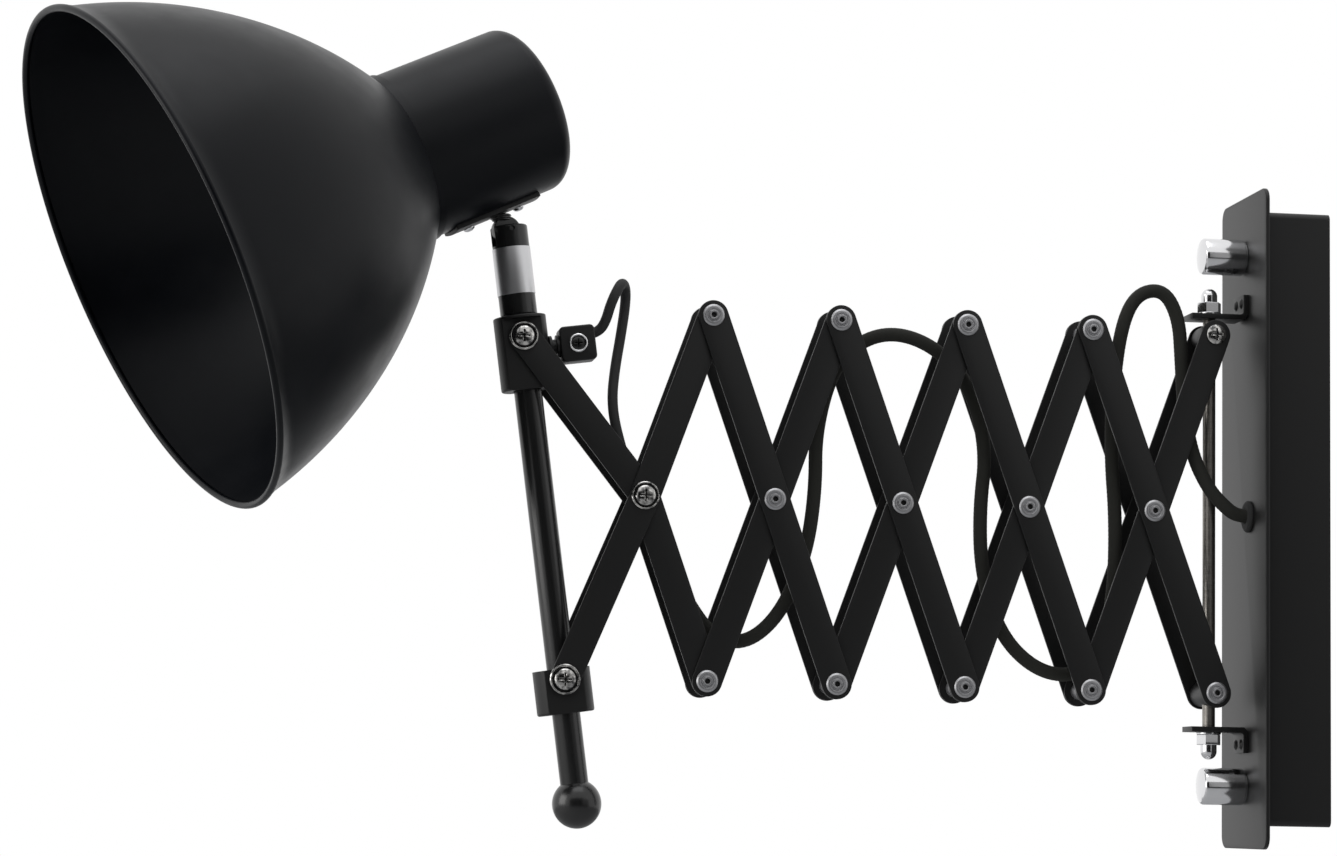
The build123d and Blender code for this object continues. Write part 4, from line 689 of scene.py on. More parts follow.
def chrome():
    """Polished plating with faint smears and hairline scratches."""
    look = bpy.context.scene.lamp_finishes
    material, nodes, shader = new_material(
        "chrome", base_color=tuple(look.chrome), metallic=1.0, roughness=0.08)
    if nodes:
        worn(material, shader, 260, 0.05, 0.16, 5, 0.65)
        bumped(material, shader, noise(material, 2600, 2, 0.5, (1, 1, 0.15)), 0.05, 0.00002)
    return material


def screw_steel():
    """Plated screw: a greyer plating, with dark patches painted in as reflections of dark surroundings."""
    material, nodes, shader = new_material("screw_steel", metallic=1.0, roughness=0.16)
    if nodes:
        dark_reflections = ranged(material, noise(material, 420, 4, 0.6), 0, 1, 0.4, 0.62)
        # painted reflection: near-black patches in the colour stand in for dark surroundings mirrored in the
        # heads
        mottled(material, shader, dark_reflections, (0.62, 0.61, 0.59), (0.1, 0.1, 0.1))
        worn(material, shader, 700, 0.1, 0.24)
        bumped(material, shader, noise(material, 1500, 2), 0.12, 0.00004)
    return material


def rivet_steel():
    """Nickelled rivet: bright, softly rolled, with darker specks of wear."""
    look = bpy.context.scene.lamp_finishes
    material, nodes, shader = new_material("rivet_steel", metallic=1.0, roughness=0.25)
    if nodes:
        specks = ranged(material, noise(material, 900, 4, 0.6), 0, 1, 0.45, 0.8)
        mottled(material, shader, specks, tuple(look.steel), tuple(c * 0.7 for c in look.steel))
        worn(material, shader, 700, 0.14, 0.28)
        bumped(material, shader, noise(material, 3000, 2), 0.1, 0.00003)
    return material


def rod_steel():
    """Bare steel of the spindle: satin, a little brown, with fine marks that run round it."""
    material, nodes, shader = new_material("rod_steel", metallic=1.0, roughness=0.36)
    if nodes:
        marks = ranged(material, noise(material, 300, 5, 0.7, (1, 1, 6)), 0, 1, 0.3, 0.75)
        mottled(material, shader, marks, (0.25, 0.235, 0.215), (0.4, 0.38, 0.35))
        worn(material, shader, 200, 0.3, 0.44)
        bumped(material, shader, noise(material, 900, 3, 0.6, (0.2, 0.2, 4)), 0.15, 0.00003)
    return material


def zinc_steel():
    """Zinc plate with spangle."""
    material, nodes, shader = new_material("zinc_steel", metallic=1.0, roughness=0.38)
    if nodes:
        spangle = ranged(material, noise(material, 240, 4, 0.7), 0, 1)
        mottled(material, shader, spangle, (0.42, 0.42, 0.43), (0.62, 0.62, 0.63))
        worn(material, shader, 300, 0.3, 0.45)
        bumped(material, shader, noise(material, 1200, 2), 0.1, 0.00004)
    return material


def silver_band():
    """Plain silvery band with a fine grain."""
    material, nodes, shader = new_material(
        "silver_band", metallic=0.35, roughness=0.4, specular_ior_level=0.5)
    if nodes:
        grain = ranged(material, noise(material, 900, 3, 0.5, (1, 1, 0.12)), 0, 1)
        mottled(material, shader, grain, (0.66, 0.67, 0.69), (0.78, 0.79, 0.8))
        worn(material, shader, 400, 0.34, 0.46)
        bumped(material, shader, noise(material, 2000, 2), 0.08, 0.00002)
    return material


def brass():
    """Bare brass with tarnish."""
    material, nodes, shader = new_material("brass", metallic=1.0, roughness=0.3)
    if nodes:
        tarnish = ranged(material, noise(material, 350, 4), 0, 1)
        mottled(material, shader, tarnish, (0.78, 0.56, 0.25), (0.5, 0.34, 0.15))
        worn(material, shader, 300, 0.22, 0.4)
        bumped(material, shader, noise(material, 1500, 2), 0.1, 0.00003)
    return material


def moulded(name, first, second, roughness, grain=1800.0, shine=0.4):
    """Moulded plastic, rubber or ceramic: two close tones and a fine surface grain."""
    material, nodes, shader = new_material(name, roughness=roughness, specular_ior_level=shine)
    if nodes:
        mottled(material, shader, ranged(material, noise(material, 220, 4), 0, 1), first, second)
        worn(material, shader, 350, roughness - 0.06, roughness + 0.06)
        bumped(material, shader, noise(material, grain, 2), 0.15, 0.00005)
    return material


def math_node(material, operation, *inputs):
    """One Math node over sockets and numbers."""
    node = material.node_tree.nodes.new("ShaderNodeMath")
    node.operation = operation
    for socket, value in zip(node.inputs, inputs):
        if isinstance(value, (int, float)):
            socket.default_value = value
        else:
            link(material, value, socket)
    return node.outputs[0]


def braid():
    """Textile braid. With p = n (u + v) and q = n (u - v), the thread along p lies on top where
    floor p + floor q is even, and the thread along q elsewhere; its height is sin(pi frac) across it."""
    look, cords = bpy.context.scene.lamp_finishes, bpy.context.scene.lamp_cords
    material, nodes, shader = new_material(
        "cord_braid", roughness=0.7, specular_ior_level=0.12, sheen_weight=0.05, sheen_roughness=0.5)
    if not nodes:
        return material

    def worked(operation, *inputs):
        """Math node of this material."""
        return math_node(material, operation, *inputs)

    coordinates, split = nodes.new("ShaderNodeTexCoord"), nodes.new("ShaderNodeSeparateXYZ")
    link(material, coordinates.outputs["UV"], split.inputs["Vector"])
    around, along = (worked("MULTIPLY", split.outputs[k], cords.threads) for k in ("X", "Y"))
    p, q = worked("ADD", around, along), worked("SUBTRACT", around, along)
    ridge_p, ridge_q = (worked("SINE", worked("MULTIPLY", worked("FRACT", s), pi)) for s in (p, q))
    odd = worked("FLOORED_MODULO", worked("ADD", worked("FLOOR", p), worked("FLOOR", q)), 2.0)
    even = worked("SUBTRACT", 1.0, odd)
    crown_p, crown_q = (worked("MULTIPLY_ADD", ridge, BRAID_CROWN, BRAID_LOW) for ridge in (ridge_p, ridge_q))
    p_over = worked("MULTIPLY", even, worked("MULTIPLY", ridge_q, crown_p))
    q_over = worked("MULTIPLY", odd, worked("MULTIPLY", ridge_p, crown_q))
    fibres = noise(material, 2600, 3, 0.7)
    lit_threads = ranged(material, p_over, 0, 1, 0.5, 0.95)
    lit = worked("MULTIPLY", lit_threads, ranged(material, fibres, 0.3, 1, 0.35, 0.65))
    mottled(material, shader, lit, tuple(c * 0.08 for c in look.braid), tuple(c * 6 for c in look.braid))
    link(material, ranged(material, fibres, 0.6, 0.8), shader.inputs["Roughness"])
    height = worked("MULTIPLY_ADD", fibres, 0.25, worked("ADD", p_over, q_over))
    bumped(material, shader, height, 0.8, 0.00035)
    return material


FINISH = {
    "coat": powder_coat,
    "shade": shade_coat,
    "gloss": gloss_black,
    "chrome": chrome,
    "screw": screw_steel,
    "rivet": rivet_steel,
    "steel": rod_steel,
    "zinc": zinc_steel,
    "band": silver_band,
    "brass": brass,
    "braid": braid,
    "rubber": lambda: moulded("rubber", (0.003, 0.003, 0.003), (0.006, 0.006, 0.006), 0.45, shine=0.15),
    "ceramic": lambda: moulded("white_ceramic", (0.74, 0.72, 0.68), (0.8, 0.78, 0.74), 0.25, 600.0),
    "plastic": lambda: moulded("black_plastic", (0.01, 0.01, 0.01), (0.018, 0.018, 0.018), 0.42),
    "terminal": lambda: moulded("terminal_plastic", (0.7, 0.68, 0.62), (0.78, 0.76, 0.7), 0.5),
    "pvc": lambda: moulded("cord_pvc", (0.002, 0.002, 0.0024), (0.004, 0.004, 0.0045), 0.22, 2600.0, 0.16),
}


def finish_nodes(finish, *names):
    """Give carried-over nodes of the frame a finish."""
    for name in names:
        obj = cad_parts[name]
        if not obj.material_slots:
            obj.data.materials.append(None)
        for material_slot in obj.material_slots:
            material_slot.material = FINISH[finish]()


# ---------------------------------------------------------------- stage
def pose(right, up, back, place):
    """Matrix whose columns are the axes and the place."""
    return Matrix([[right[k], up[k], back[k], place[k]] for k in range(3)] + [[0, 0, 0, 1]])


class WALLLAMP_OT_stage(bpy.types.Operator):
    """Make the camera, the lamps, the white surroundings and the floor."""

    bl_idname = "wall_lamp.stage"
    bl_label = "Stage"

    def execute(self, context):
        studio = context.scene.lamp_studio
        context.scene.view_settings.view_transform = "Standard"
        self.camera(context, studio.lens)
        self.surroundings(context, studio.ambient)
        for name, (place, size, colour) in LAMPS.items():
            self.area(context, name, place, size, getattr(studio, name), colour)
        self.floor(context)
        self.dark_card(context)
        return {"FINISHED"}

    def camera(self, context, lens):
        """Camera at its place: the columns of its matrix are right, up and back."""
        data = bpy.data.cameras.new("camera")
        data.sensor_width, data.lens, data.clip_start, data.clip_end = SENSOR_WIDTH, lens, NEAREST, FARTHEST
        camera = bpy.data.objects.new("camera", data)
        camera.matrix_world = pose(CAMERA_RIGHT, CAMERA_UP, -np.array(CAMERA_LOOK), CAMERA_PLACE)
        context.scene.collection.objects.link(camera)
        context.scene.camera = camera

    def surroundings(self, context, ambient):
        """World: white to the camera, in reflections and through glass, dimmer as light."""
        world = bpy.data.worlds.new("surroundings")
        world.use_nodes = True
        nodes, links = world.node_tree.nodes, world.node_tree.links
        nodes.clear()
        path, output = nodes.new("ShaderNodeLightPath"), nodes.new("ShaderNodeOutputWorld")
        seen, light = nodes.new("ShaderNodeBackground"), nodes.new("ShaderNodeBackground")
        mix = nodes.new("ShaderNodeMixShader")
        seen.inputs["Color"].default_value = (1, 1, 1, 1)
        seen.inputs["Strength"].default_value = 1.0
        light.inputs["Color"].default_value = (0.95, 0.97, 1.0, 1)
        light.inputs["Strength"].default_value = ambient
        looked_at = path.outputs["Is Camera Ray"]
        for kind in ("Is Glossy Ray", "Is Transmission Ray"):
            either = nodes.new("ShaderNodeMath")
            either.operation = "MAXIMUM"
            links.new(looked_at, either.inputs[0])
            links.new(path.outputs[kind], either.inputs[1])
            looked_at = either.outputs[0]
        for source, target in zip((looked_at, light.outputs[0], seen.outputs[0]), mix.inputs):
            links.new(source, target)
        links.new(mix.outputs[0], output.inputs[0])
        context.scene.world = world

    def area(self, context, name, place, size, power, colour):
        """Square lamp at place that faces the stage's centre."""
        data = bpy.data.lights.new(name, "AREA")
        data.size, data.energy, data.color = size, power, colour
        lamp = bpy.data.objects.new(name, data)
        back = unit(np.array(place) - STAGE_CENTRE)
        right = unit(np.cross(UP, back)) if abs(back @ UP) < 0.98 else ACROSS
        lamp.matrix_world = pose(right, np.cross(back, right), back, place)
        context.scene.collection.objects.link(lamp)

    def dark_card(self, context):
        """Black card behind the camera, seen only in reflections: the dark side of the studio."""
        corners = [(x, CARD_PLACE, z) for x, z in (
            (CARD_LEFT, CARD_LOW), (CARD_RIGHT, CARD_LOW), (CARD_RIGHT, CARD_HIGH), (CARD_LEFT, CARD_HIGH))]
        mesh = bpy.data.meshes.new("dark_card")
        mesh.from_pydata(corners, [], [(0, 1, 2, 3)])
        mesh.materials.append(moulded("dark_card", (0.004, 0.004, 0.004), (0.006, 0.006, 0.006), 0.9))
        card = bpy.data.objects.new("dark_card", mesh)
        card.visible_camera = card.visible_diffuse = card.visible_shadow = False
        context.scene.collection.objects.link(card)

    def floor(self, context):
        """Pale round floor well below the lamp, a little brighter to the camera than its light makes it."""
        angle = np.linspace(0, 2 * pi, FLOOR_SIDES, endpoint=False)
        ring = np.stack([
            FLOOR_RADIUS * np.cos(angle) + STAGE_CENTRE[0], FLOOR_RADIUS * np.sin(angle),
            np.full(FLOOR_SIDES, FLOOR_HEIGHT)], axis=1)
        mesh = bpy.data.meshes.new("floor")
        mesh.from_pydata(ring, [], [list(range(FLOOR_SIDES))])
        material, nodes, shader = new_material("floor", roughness=0.7, specular_ior_level=0.2)
        patches = ranged(material, noise(material, 6, 3), 0, 1)
        mottled(material, shader, patches, (0.8, 0.8, 0.8), (0.84, 0.84, 0.84))
        shader.inputs["Emission Color"].default_value = (1, 1, 1, 1)
        seen = nodes.new("ShaderNodeLightPath").outputs["Is Camera Ray"]
        link(material, math_node(material, "MULTIPLY", seen, FLOOR_GLOW), shader.inputs["Emission Strength"])
        mesh.materials.append(material)
        floor = bpy.data.objects.new("floor", mesh)
        context.scene.collection.objects.link(floor)


# ---------------------------------------------------------------- cords
def smooth_line(name, route):
    """Points of the NURBS spline whose control points are the route's, in metres."""
    curve = bpy.data.curves.new(name + "_line", "CURVE")
    curve.dimensions = "3D"
    curve.resolution_u = 24
    spline = curve.splines.new("NURBS")
    spline.points.add(len(route) - 1)
    for point, place in zip(spline.points, route):
        point.co = (*(np.array(place) * MM), 1.0)
    spline.order_u = 3
    spline.use_endpoint_u = True
    obj = bpy.data.objects.new(name + "_line", curve)
    mesh = bpy.data.meshes.new_from_object(obj)
    line = np.array([v.co for v in mesh.vertices])
    bpy.data.meshes.remove(mesh)
    bpy.data.objects.remove(obj)
    bpy.data.curves.remove(curve)
    return line


def evenly(line, spacing):
    """The line's points at equal spacing along it, and how far along each is."""
    along = np.concatenate([[0], np.cumsum(np.linalg.norm(np.diff(line, axis=0), axis=1))])
    places = np.linspace(0, along[-1], int(along[-1] / spacing) + 1)
    return np.stack([np.interp(places, along, line[:, k]) for k in range(3)], axis=1), places


def cord_piece(name, line, along, first, last, diameter, finish, sides=40, relief=None):
    """Tube round the line's points from first to last: point(s, a) = line(s) + r (cos a side + sin a over),
    side = tangent x Y. UV is a / 2 pi and the length along over the girth."""
    tangent = np.gradient(line, axis=0)
    tangent /= np.linalg.norm(tangent, axis=1, keepdims=True)
    side = np.cross(tangent, [0, 1, 0])
    side /= np.linalg.norm(side, axis=1, keepdims=True)
    over = np.cross(side, tangent)
    angle = np.linspace(0, 2 * pi, sides, endpoint=False)
    rows, count = slice(first, last + 1), last + 1 - first
    v = along[rows] / (pi * diameter)
    radius = np.full((count, sides), diameter / 2)
    if relief is not None:
        radius = radius + relief(np.arange(sides)[None] / sides, v[:, None])
    circle = np.cos(angle)[None, :, None] * side[rows, None] + np.sin(angle)[None, :, None] * over[rows, None]
    points = line[rows, None] + radius[..., None] * circle
    shell, faces = grid(points, close_columns=True)
    caps = [list(range(sides)), list(range((count - 1) * sides, count * sides))[::-1]]
    mesh = bpy.data.meshes.new(name)
    mesh.from_pydata(shell, [], [face[::-1] for face in faces] + caps)
    i, j = np.meshgrid(np.arange(count - 1), np.arange(sides), indexing="ij")
    corner = np.stack([
        np.stack([(j + dj) / sides, v[i + di]], axis=-1) for di, dj in ((0, 1), (1, 1), (1, 0), (0, 0))
    ], axis=2).reshape(-1, 2)
    uv = np.vstack([corner, np.zeros((2 * sides, 2))])
    mesh.uv_layers.new(name="UVMap").data.foreach_set("uv", uv.astype(np.float32).ravel())
    mesh.shade_smooth()
    mesh.set_sharp_from_angle(angle=CORD_SHARP_ANGLE)
    return placed(name, mesh, finish)


class WALLLAMP_OT_cords(bpy.types.Operator):
    """Make the smooth lead, the joint sleeve and the flex, the flex in stretches."""

    bl_idname = "wall_lamp.cords"
    bl_label = "Cords"

    def execute(self, context):
        self.lead(context.scene.lamp_cords)
        self.sleeve()
        self.flex(context.scene.lamp_cords)
        return {"FINISHED"}

    def lead(self, cords):
        """Smooth lead from the clamp to the joint sleeve."""
        line, along = evenly(smooth_line("lead", LEAD_ROUTE), cords.ring_spacing)
        lead = cord_piece("lead", line, along, 0, len(line) - 1, cords.lead_diameter, "pvc")
        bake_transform(lead)
        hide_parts("lamp_lead")

    def flex(self, cords):
        """Braided flex in one stretch for each bend, cut midway between one bend and the next."""
        line, along = evenly(smooth_line("flex", FLEX_ROUTE), cords.ring_spacing)
        ends = [[int(np.linalg.norm(line - np.array(point) * MM, axis=1).argmin()) for point in bend[2:]]
                for bend in FLEX_BENDS]
        between = [(before[1] + after[0]) // 2 for before, after in zip(ends, ends[1:])]
        cuts = [0] + between + [len(line) - 1]
        for number, (body, other, low, high) in enumerate(FLEX_BENDS, 1):
            first, last = cuts[number - 1:number + 1]
            flex = cord_piece(f"flex_{number:02d}", line, along, first, last, cords.flex_diameter, "braid",
                              relief=self.threads)
            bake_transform(flex)
            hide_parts("braided_flex")

    @staticmethod
    def threads(u, v):
        """Relief of the braid's threads in metres, with the same crossings as the finish: the upper thread's
        height, less BRAID_MIDDLE, times BRAID_RELIEF."""
        count = bpy.context.scene.lamp_cords.threads
        p, q = count * (u + v), count * (u - v)
        ridge_p, ridge_q = np.sin(pi * (p % 1)), np.sin(pi * (q % 1))
        odd = (np.floor(p) + np.floor(q)) % 2
        p_over = ridge_q * (BRAID_LOW + BRAID_CROWN * ridge_p)
        q_over = ridge_p * (BRAID_LOW + BRAID_CROWN * ridge_q)
        return MM * BRAID_RELIEF * ((1 - odd) * p_over + odd * q_over - BRAID_MIDDLE)

    def sleeve(self):
        """Joint sleeve: a moulded barrel with rounded ends and a grip ring at each end."""
        radius = JOINT_DIAMETER / 2
        far = [(JOINT_LENGTH - place, radius - fall) for place, fall in JOINT_GRIP]
        near = [(place, radius - fall) for place, fall in reversed(JOINT_GRIP)]
        profile = [(0, 0), (JOINT_LENGTH, 0)] + far + near
        piece("joint_sleeve", [turned(profile, JOINT_START, JOINT_AXIS, -FRONT)], "up_5", "plastic",
              ["lead_joint"])


# ---------------------------------------------------------------- wall part
class WALLLAMP_OT_wall(bpy.types.Operator):
    """Make the box, the plate, the knobs, the tabs and the grommet."""

    bl_idname = "wall_lamp.wall"
    bl_label = "Wall part"

    def execute(self, context):
        self.box()
        plate = carried(rounded_rectangle(PLATE_WIDTH, PLATE_HEIGHT, PLATE_CORNER),
                        sheet_edge(PLATE_THICKNESS, PLATE_EDGE), np.array([-BOX_DEPTH, 0, 0]), FRONT, UP)
        piece("plate", [plate], "root", "coat", ["wall_plate"])
        self.knobs()
        self.tab("upper_tab", UPPER_TAB_Z, 1)
        self.tab("lower_tab", LOWER_TAB_Z, -1)
        self.rivets()
        self.grommet(context.scene.lamp_cords.flex_diameter / MM)
        finish_nodes("zinc", "wall_bracket", "bracket_studs", "bracket_nuts")
        finish_nodes("terminal", "terminal_block")
        return {"FINISHED"}

    def box(self):
        """Box open to the wall: its wall, its outer edge as a quarter circle and its front as flat caps."""
        inner = BOX_DEPTH - BOX_WALL
        edge = [(BOX_EDGE - BOX_EDGE * sin(t), BOX_DEPTH - BOX_EDGE + BOX_EDGE * cos(t))
                for t in np.linspace(pi / 2, 0, 6)]
        profile = [(BOX_WALL + FACE_INSET, inner), (BOX_WALL, inner), (BOX_WALL, 0), (0, 0)] + edge + [
            (BOX_EDGE + FACE_INSET, BOX_DEPTH)]
        shell = carried(rounded_rectangle(BOX_WIDTH, BOX_HEIGHT, BOX_CORNER), profile, np.zeros(3), FRONT, UP)
        piece("box", [shell], "root", "coat", ["wall_box"])

    def knobs(self):
        """Cap knobs: a straight barrel on a neck, with a slightly domed end."""
        neck = KNOB_RADIUS - KNOB_LIP
        dome = [(KNOB_LENGTH - fall, radius) for fall, radius in KNOB_DOME]
        blind = KNOB_LENGTH - KNOB_CAP
        bore = [(0, STUD_RADIUS), (blind, STUD_RADIUS), (blind, 0)]
        profile = bore + dome + [(KNOB_NECK, KNOB_RADIUS), (KNOB_NECK, neck), (0, neck)]
        shells = [turned(profile, np.array([PLATE_FACE, 0, z]), OUT, UP, steps=128, edge=0.5)
                  for z in (STUD_HEIGHT, -STUD_HEIGHT)]
        piece("knobs", shells, "root", "chrome", ["cap_knobs"])

    def tab(self, name, outer, up):
        """Bent sheet: an L with a rounded bend, its foot up or down the plate, carried across its width."""
        near, far, face = PLATE_FACE, PLATE_FACE - TAB_LENGTH, PLATE_FACE - TAB_THICKNESS
        inner, foot = outer + up * TAB_THICKNESS, outer + up * TAB_FOOT
        bend = arc((face - TAB_BEND, inner + up * TAB_BEND), TAB_BEND, 0, -90 * up, 6)
        tongue = [(far, inner), (far, outer), (near - TAB_CHAMFER, outer), (near, outer + up * TAB_CHAMFER)]
        outline = np.vstack([[(near, foot), (face, foot)], bend, tongue])
        shell = carried(outline[::up], sheet_edge(TAB_WIDTH, TAB_EDGE), -FRONT * TAB_WIDTH / 2, ACROSS, UP)
        piece(name + "_sheet", [shell], "root", "coat", [name])

    def rivets(self):
        """Domed rivets in the feet of the tabs."""
        head = TAB_THICKNESS + TAB_RIVET_HEIGHT
        profile = [(0, 0), (head, 0), (head - TAB_RIVET_HEIGHT / 4, TAB_RIVET_CROWN),
                   (TAB_THICKNESS, TAB_RIVET_RADIUS), (TAB_THICKNESS, TAB_RIVET_SHANK), (0, TAB_RIVET_SHANK)]
        rows = (UPPER_TAB_Z + TAB_FOOT - TAB_RIVET_INSET, LOWER_TAB_Z - TAB_FOOT + TAB_RIVET_INSET)
        shells = [turned(profile, np.array([PLATE_FACE, side, height]), OUT, UP, steps=40)
                  for height in rows for side in (-TAB_RIVET_SPREAD, TAB_RIVET_SPREAD)]
        piece("tab_rivet_heads", shells, "root", "coat", ["tab_rivets"])

    def grommet(self, flex_diameter):
        """Rubber ring in the plate's hole, with a lip on both sides and the flex's bore."""
        bore, hole = flex_diameter / 2 + FLEX_PLAY, GROMMET_RADIUS - GROMMET_WALL
        through, lip = PLATE_THICKNESS + BOX_WALL, hole + GROMMET_OVERLAP
        back = through + GROMMET_BACK
        profile = [
            (-GROMMET_LIP, bore), (back, bore), (back, lip), (through, lip), (through, hole), (0, hole),
            (0, GROMMET_RADIUS), (-GROMMET_LIP * GROMMET_FACE, GROMMET_RADIUS),
            (-GROMMET_LIP, GROMMET_RADIUS - GROMMET_OVERLAP),
        ]
        ring = turned(profile, np.array([PLATE_FACE, GROMMET_Y, GROMMET_Z]), ACROSS, UP, edge=0.5)
        piece("grommet", [ring], "root", "rubber", ["cord_grommet"])


# ---------------------------------------------------------------- spindle
class WALLLAMP_OT_spindle(bpy.types.Operator):
    """Make the spindle with its nuts and trunnions."""

    bl_idname = "wall_lamp.spindle"
    bl_label = "Spindle"

    def execute(self, context):
        foot = np.array([SPINDLE_X, 0, 0])
        above = TAB_THICKNESS + WASHER_THICKNESS + NUT_HEIGHT + DOME_ROOT
        rod_body = turned(rod(LOWER_TAB_Z - above, UPPER_TAB_Z + above, SPINDLE_RADIUS), foot, UP, OUT)
        piece("rod", [rod_body], "spindle", "steel", ["spindle_rod"])
        nuts = self.nut(foot + UP * (UPPER_TAB_Z + TAB_THICKNESS), UP)
        nuts += self.nut(foot + UP * (LOWER_TAB_Z - TAB_THICKNESS), -UP)
        piece("acorn_nuts", nuts, "spindle", "chrome", ["spindle_nuts"])
        for name, body, centre, inner in (
            ("upper_trunnion", "spindle", top_pivot(0), FALLING),
            ("lower_trunnion", "slider", bottom_pivot(0), RISING),
        ):
            half = inner - BAR_GAP
            piece(name + "_block", [turned(rod(-half, half, TRUNNION_RADIUS), centre, FRONT, UP, edge=0.6)],
                  body, "coat", [name])
        seat = FALLING_OUT + BAR_GAP
        heads = [slotted_head(top_pivot(0), side, seat, TRUNNION_SCREW, SCREW_DOME) for side in SIDES]
        shank = rod(FALLING - BAR_GAP, seat + BAR_GAP, SHANK_RADIUS)
        shanks = [turned(shank, top_pivot(0), side, UP) for side in SIDES]
        piece("upper_screws", heads + shanks, "spindle", "screw", ["trunnion_screws"])
        # dark plates that paint the shade at the bottoms of the screws' cross slots
        shadow_plates = painted_recess_shadows(top_pivot(0), FALLING_OUT + TRUNNION_SHADOW_FACE, TRUNNION_SCREW)
        piece("upper_screw_recesses", shadow_plates, "spindle", "gloss", ["trunnion_screws"])
        rivets = rivet_heads(bottom_pivot(0), RISING_OUT + BAR_GAP, RISING - BAR_GAP)
        piece("slider_rivet_heads", rivets, "slider", "rivet", ["slider_rivets"])
        return {"FINISHED"}

    def nut(self, seat, direction):
        """Washer, hexagon and acorn dome on a tab: the dome is a straight part under a half ball."""
        disc = rod(0, WASHER_THICKNESS, WASHER_RADIUS, SPINDLE_RADIUS)
        washer = turned(disc, seat, direction, OUT, edge=0.2)
        foot, side = seat + direction * WASHER_THICKNESS, np.cross(direction, ACROSS)
        corners = arc((0, 0), NUT_ACROSS / 2 / cos(pi / 6), 0, 300, 6)
        hexagon = carried(corners, sheet_edge(NUT_HEIGHT, NUT_EDGE), foot, ACROSS, side)
        cap = [(NUT_HEIGHT + DOME_STRAIGHT + DOME_RADIUS * sin(t), DOME_RADIUS * cos(t))
               for t in np.linspace(0, pi / 2, 12)]
        root = NUT_HEIGHT - DOME_ROOT
        return [washer, hexagon, turned([(root, 0), (root, DOME_RADIUS)] + cap, foot, direction, OUT, edge=0)]


# ---------------------------------------------------------------- lattice
def hollow_head(face, inner):
    """Hollow rivet's outer end from depth inner to its head on the face: flange, rolled ring, blind bore."""
    blind = face - RIVET_BLIND
    return [
        (inner, 0), (blind, 0), (blind, RIVET_BORE), (face + RIVET_HEAD + 0.5, RIVET_BORE),
        (face + RIVET_HEAD + 0.55, RIVET_BORE + 0.8), (face + RIVET_HEAD * 0.55, RIVET_BORE + 1.15),
        (face + RIVET_HEAD * 0.5, RIVET_BORE + 1.5), (face + RIVET_HEAD * 0.95, RIVET_BORE + 2.1),
        (face + RIVET_HEAD * 0.85, RIVET_HEAD_RADIUS - 0.8), (face + RIVET_HEAD * 0.3, RIVET_HEAD_RADIUS),
        (face, RIVET_HEAD_RADIUS), (face, SHANK_RADIUS), (inner, SHANK_RADIUS),
    ]


def rivet_heads(place, face, inner):
    """A hollow rivet's front and rear head."""
    return [turned(hollow_head(face, inner), place, side, UP, edge=RIVET_EDGE) for side in SIDES]


class WALLLAMP_OT_lattice(bpy.types.Operator):
    """Make the flat bars of the two lattices, with the edges rounded."""

    bl_idname = "wall_lamp.lattice"
    bl_label = "Lattice"

    def execute(self, context):
        for i in range(1, UNITS + 1):
            last = i == UNITS
            falling = [top_pivot(i - 1), middle_pivot(i), LAMP_BOTTOM if last else bottom_pivot(i)]
            self.pair("down", i, falling, FALLING)
            rising = [bottom_pivot(i - 1), middle_pivot(i), LAMP_TOP if last else top_pivot(i)]
            self.pair("up", i, rising, LAST_RISING if last else RISING)
        return {"FINISHED"}

    def pair(self, kind, number, holes, inner):
        """Front and rear copy of one bar."""
        outline = bar_outline(holes)
        shells = [carried(outline, sheet_edge(BAR_THICKNESS), FRONT * start, ACROSS, UP)
                  for start in (inner, -inner - BAR_THICKNESS)]
        body = f"{kind}_{number}"
        piece(body + "_bars", shells, body, "coat", [f"{kind}_bars_{number}"])


class WALLLAMP_OT_pivots(bpy.types.Operator):
    """Make the hollow rivets, the spacer sleeves and the screws of the lattice."""

    bl_idname = "wall_lamp.pivots"
    bl_label = "Pivots"

    def execute(self, context):
        for i in range(1, UNITS):
            last = i == UNITS - 1
            short = rivet_heads(middle_pivot(i), RISING_OUT, FALLING - RIVET_SUNK)
            long = rivet_heads(bottom_pivot(i), FALLING_OUT if last else RISING_OUT, 0)
            sleeve = self.sleeve(bottom_pivot(i), LAST_RISING if last else FALLING)
            piece(f"down_{i}_rivets", short + long + sleeve, f"down_{i}", "rivet", [f"down_pivots_{i}"])
            upper = rivet_heads(top_pivot(i), RISING_OUT, 0) + self.sleeve(top_pivot(i), FALLING)
            piece(f"up_{i}_rivets", upper, f"up_{i}", "rivet", [f"up_pivots_{i}"])
        self.last_crossing(middle_pivot(UNITS), f"down_{UNITS}")
        return {"FINISHED"}

    def sleeve(self, place, inner):
        """Spacer between the two lattices."""
        return [turned(rod(-inner + PLAY, inner - PLAY, SLEEVE_RADIUS), place, FRONT, UP)]

    def last_crossing(self, place, body):
        """Screws in dished rings instead of rivets, with a nut inside each lattice."""
        nut = rod(LAST_RISING - CROSSING_NUT, LAST_RISING, CROSSING_SCREW)
        nuts = [turned(nut, place, side, UP) for side in SIDES]
        tip = LAST_RISING - CROSSING_NUT - SHANK_END
        screws = cupped_screws(place, FALLING_OUT, CROSSING_RING, tip, CROSSING_SCREW)
        piece("last_crossing_screws", screws + nuts, body, "screw", ["last_pivot_screws"])
        # dark plates and rings that paint the shade in the slots and in the gap round the heads
        shadow_plates = painted_recess_shadows(place, FALLING_OUT + RING_SHADOW_FACE, CROSSING_SCREW, RING_GAP)
        piece("last_crossing_recesses", shadow_plates, body, "gloss", ["last_pivot_screws"])


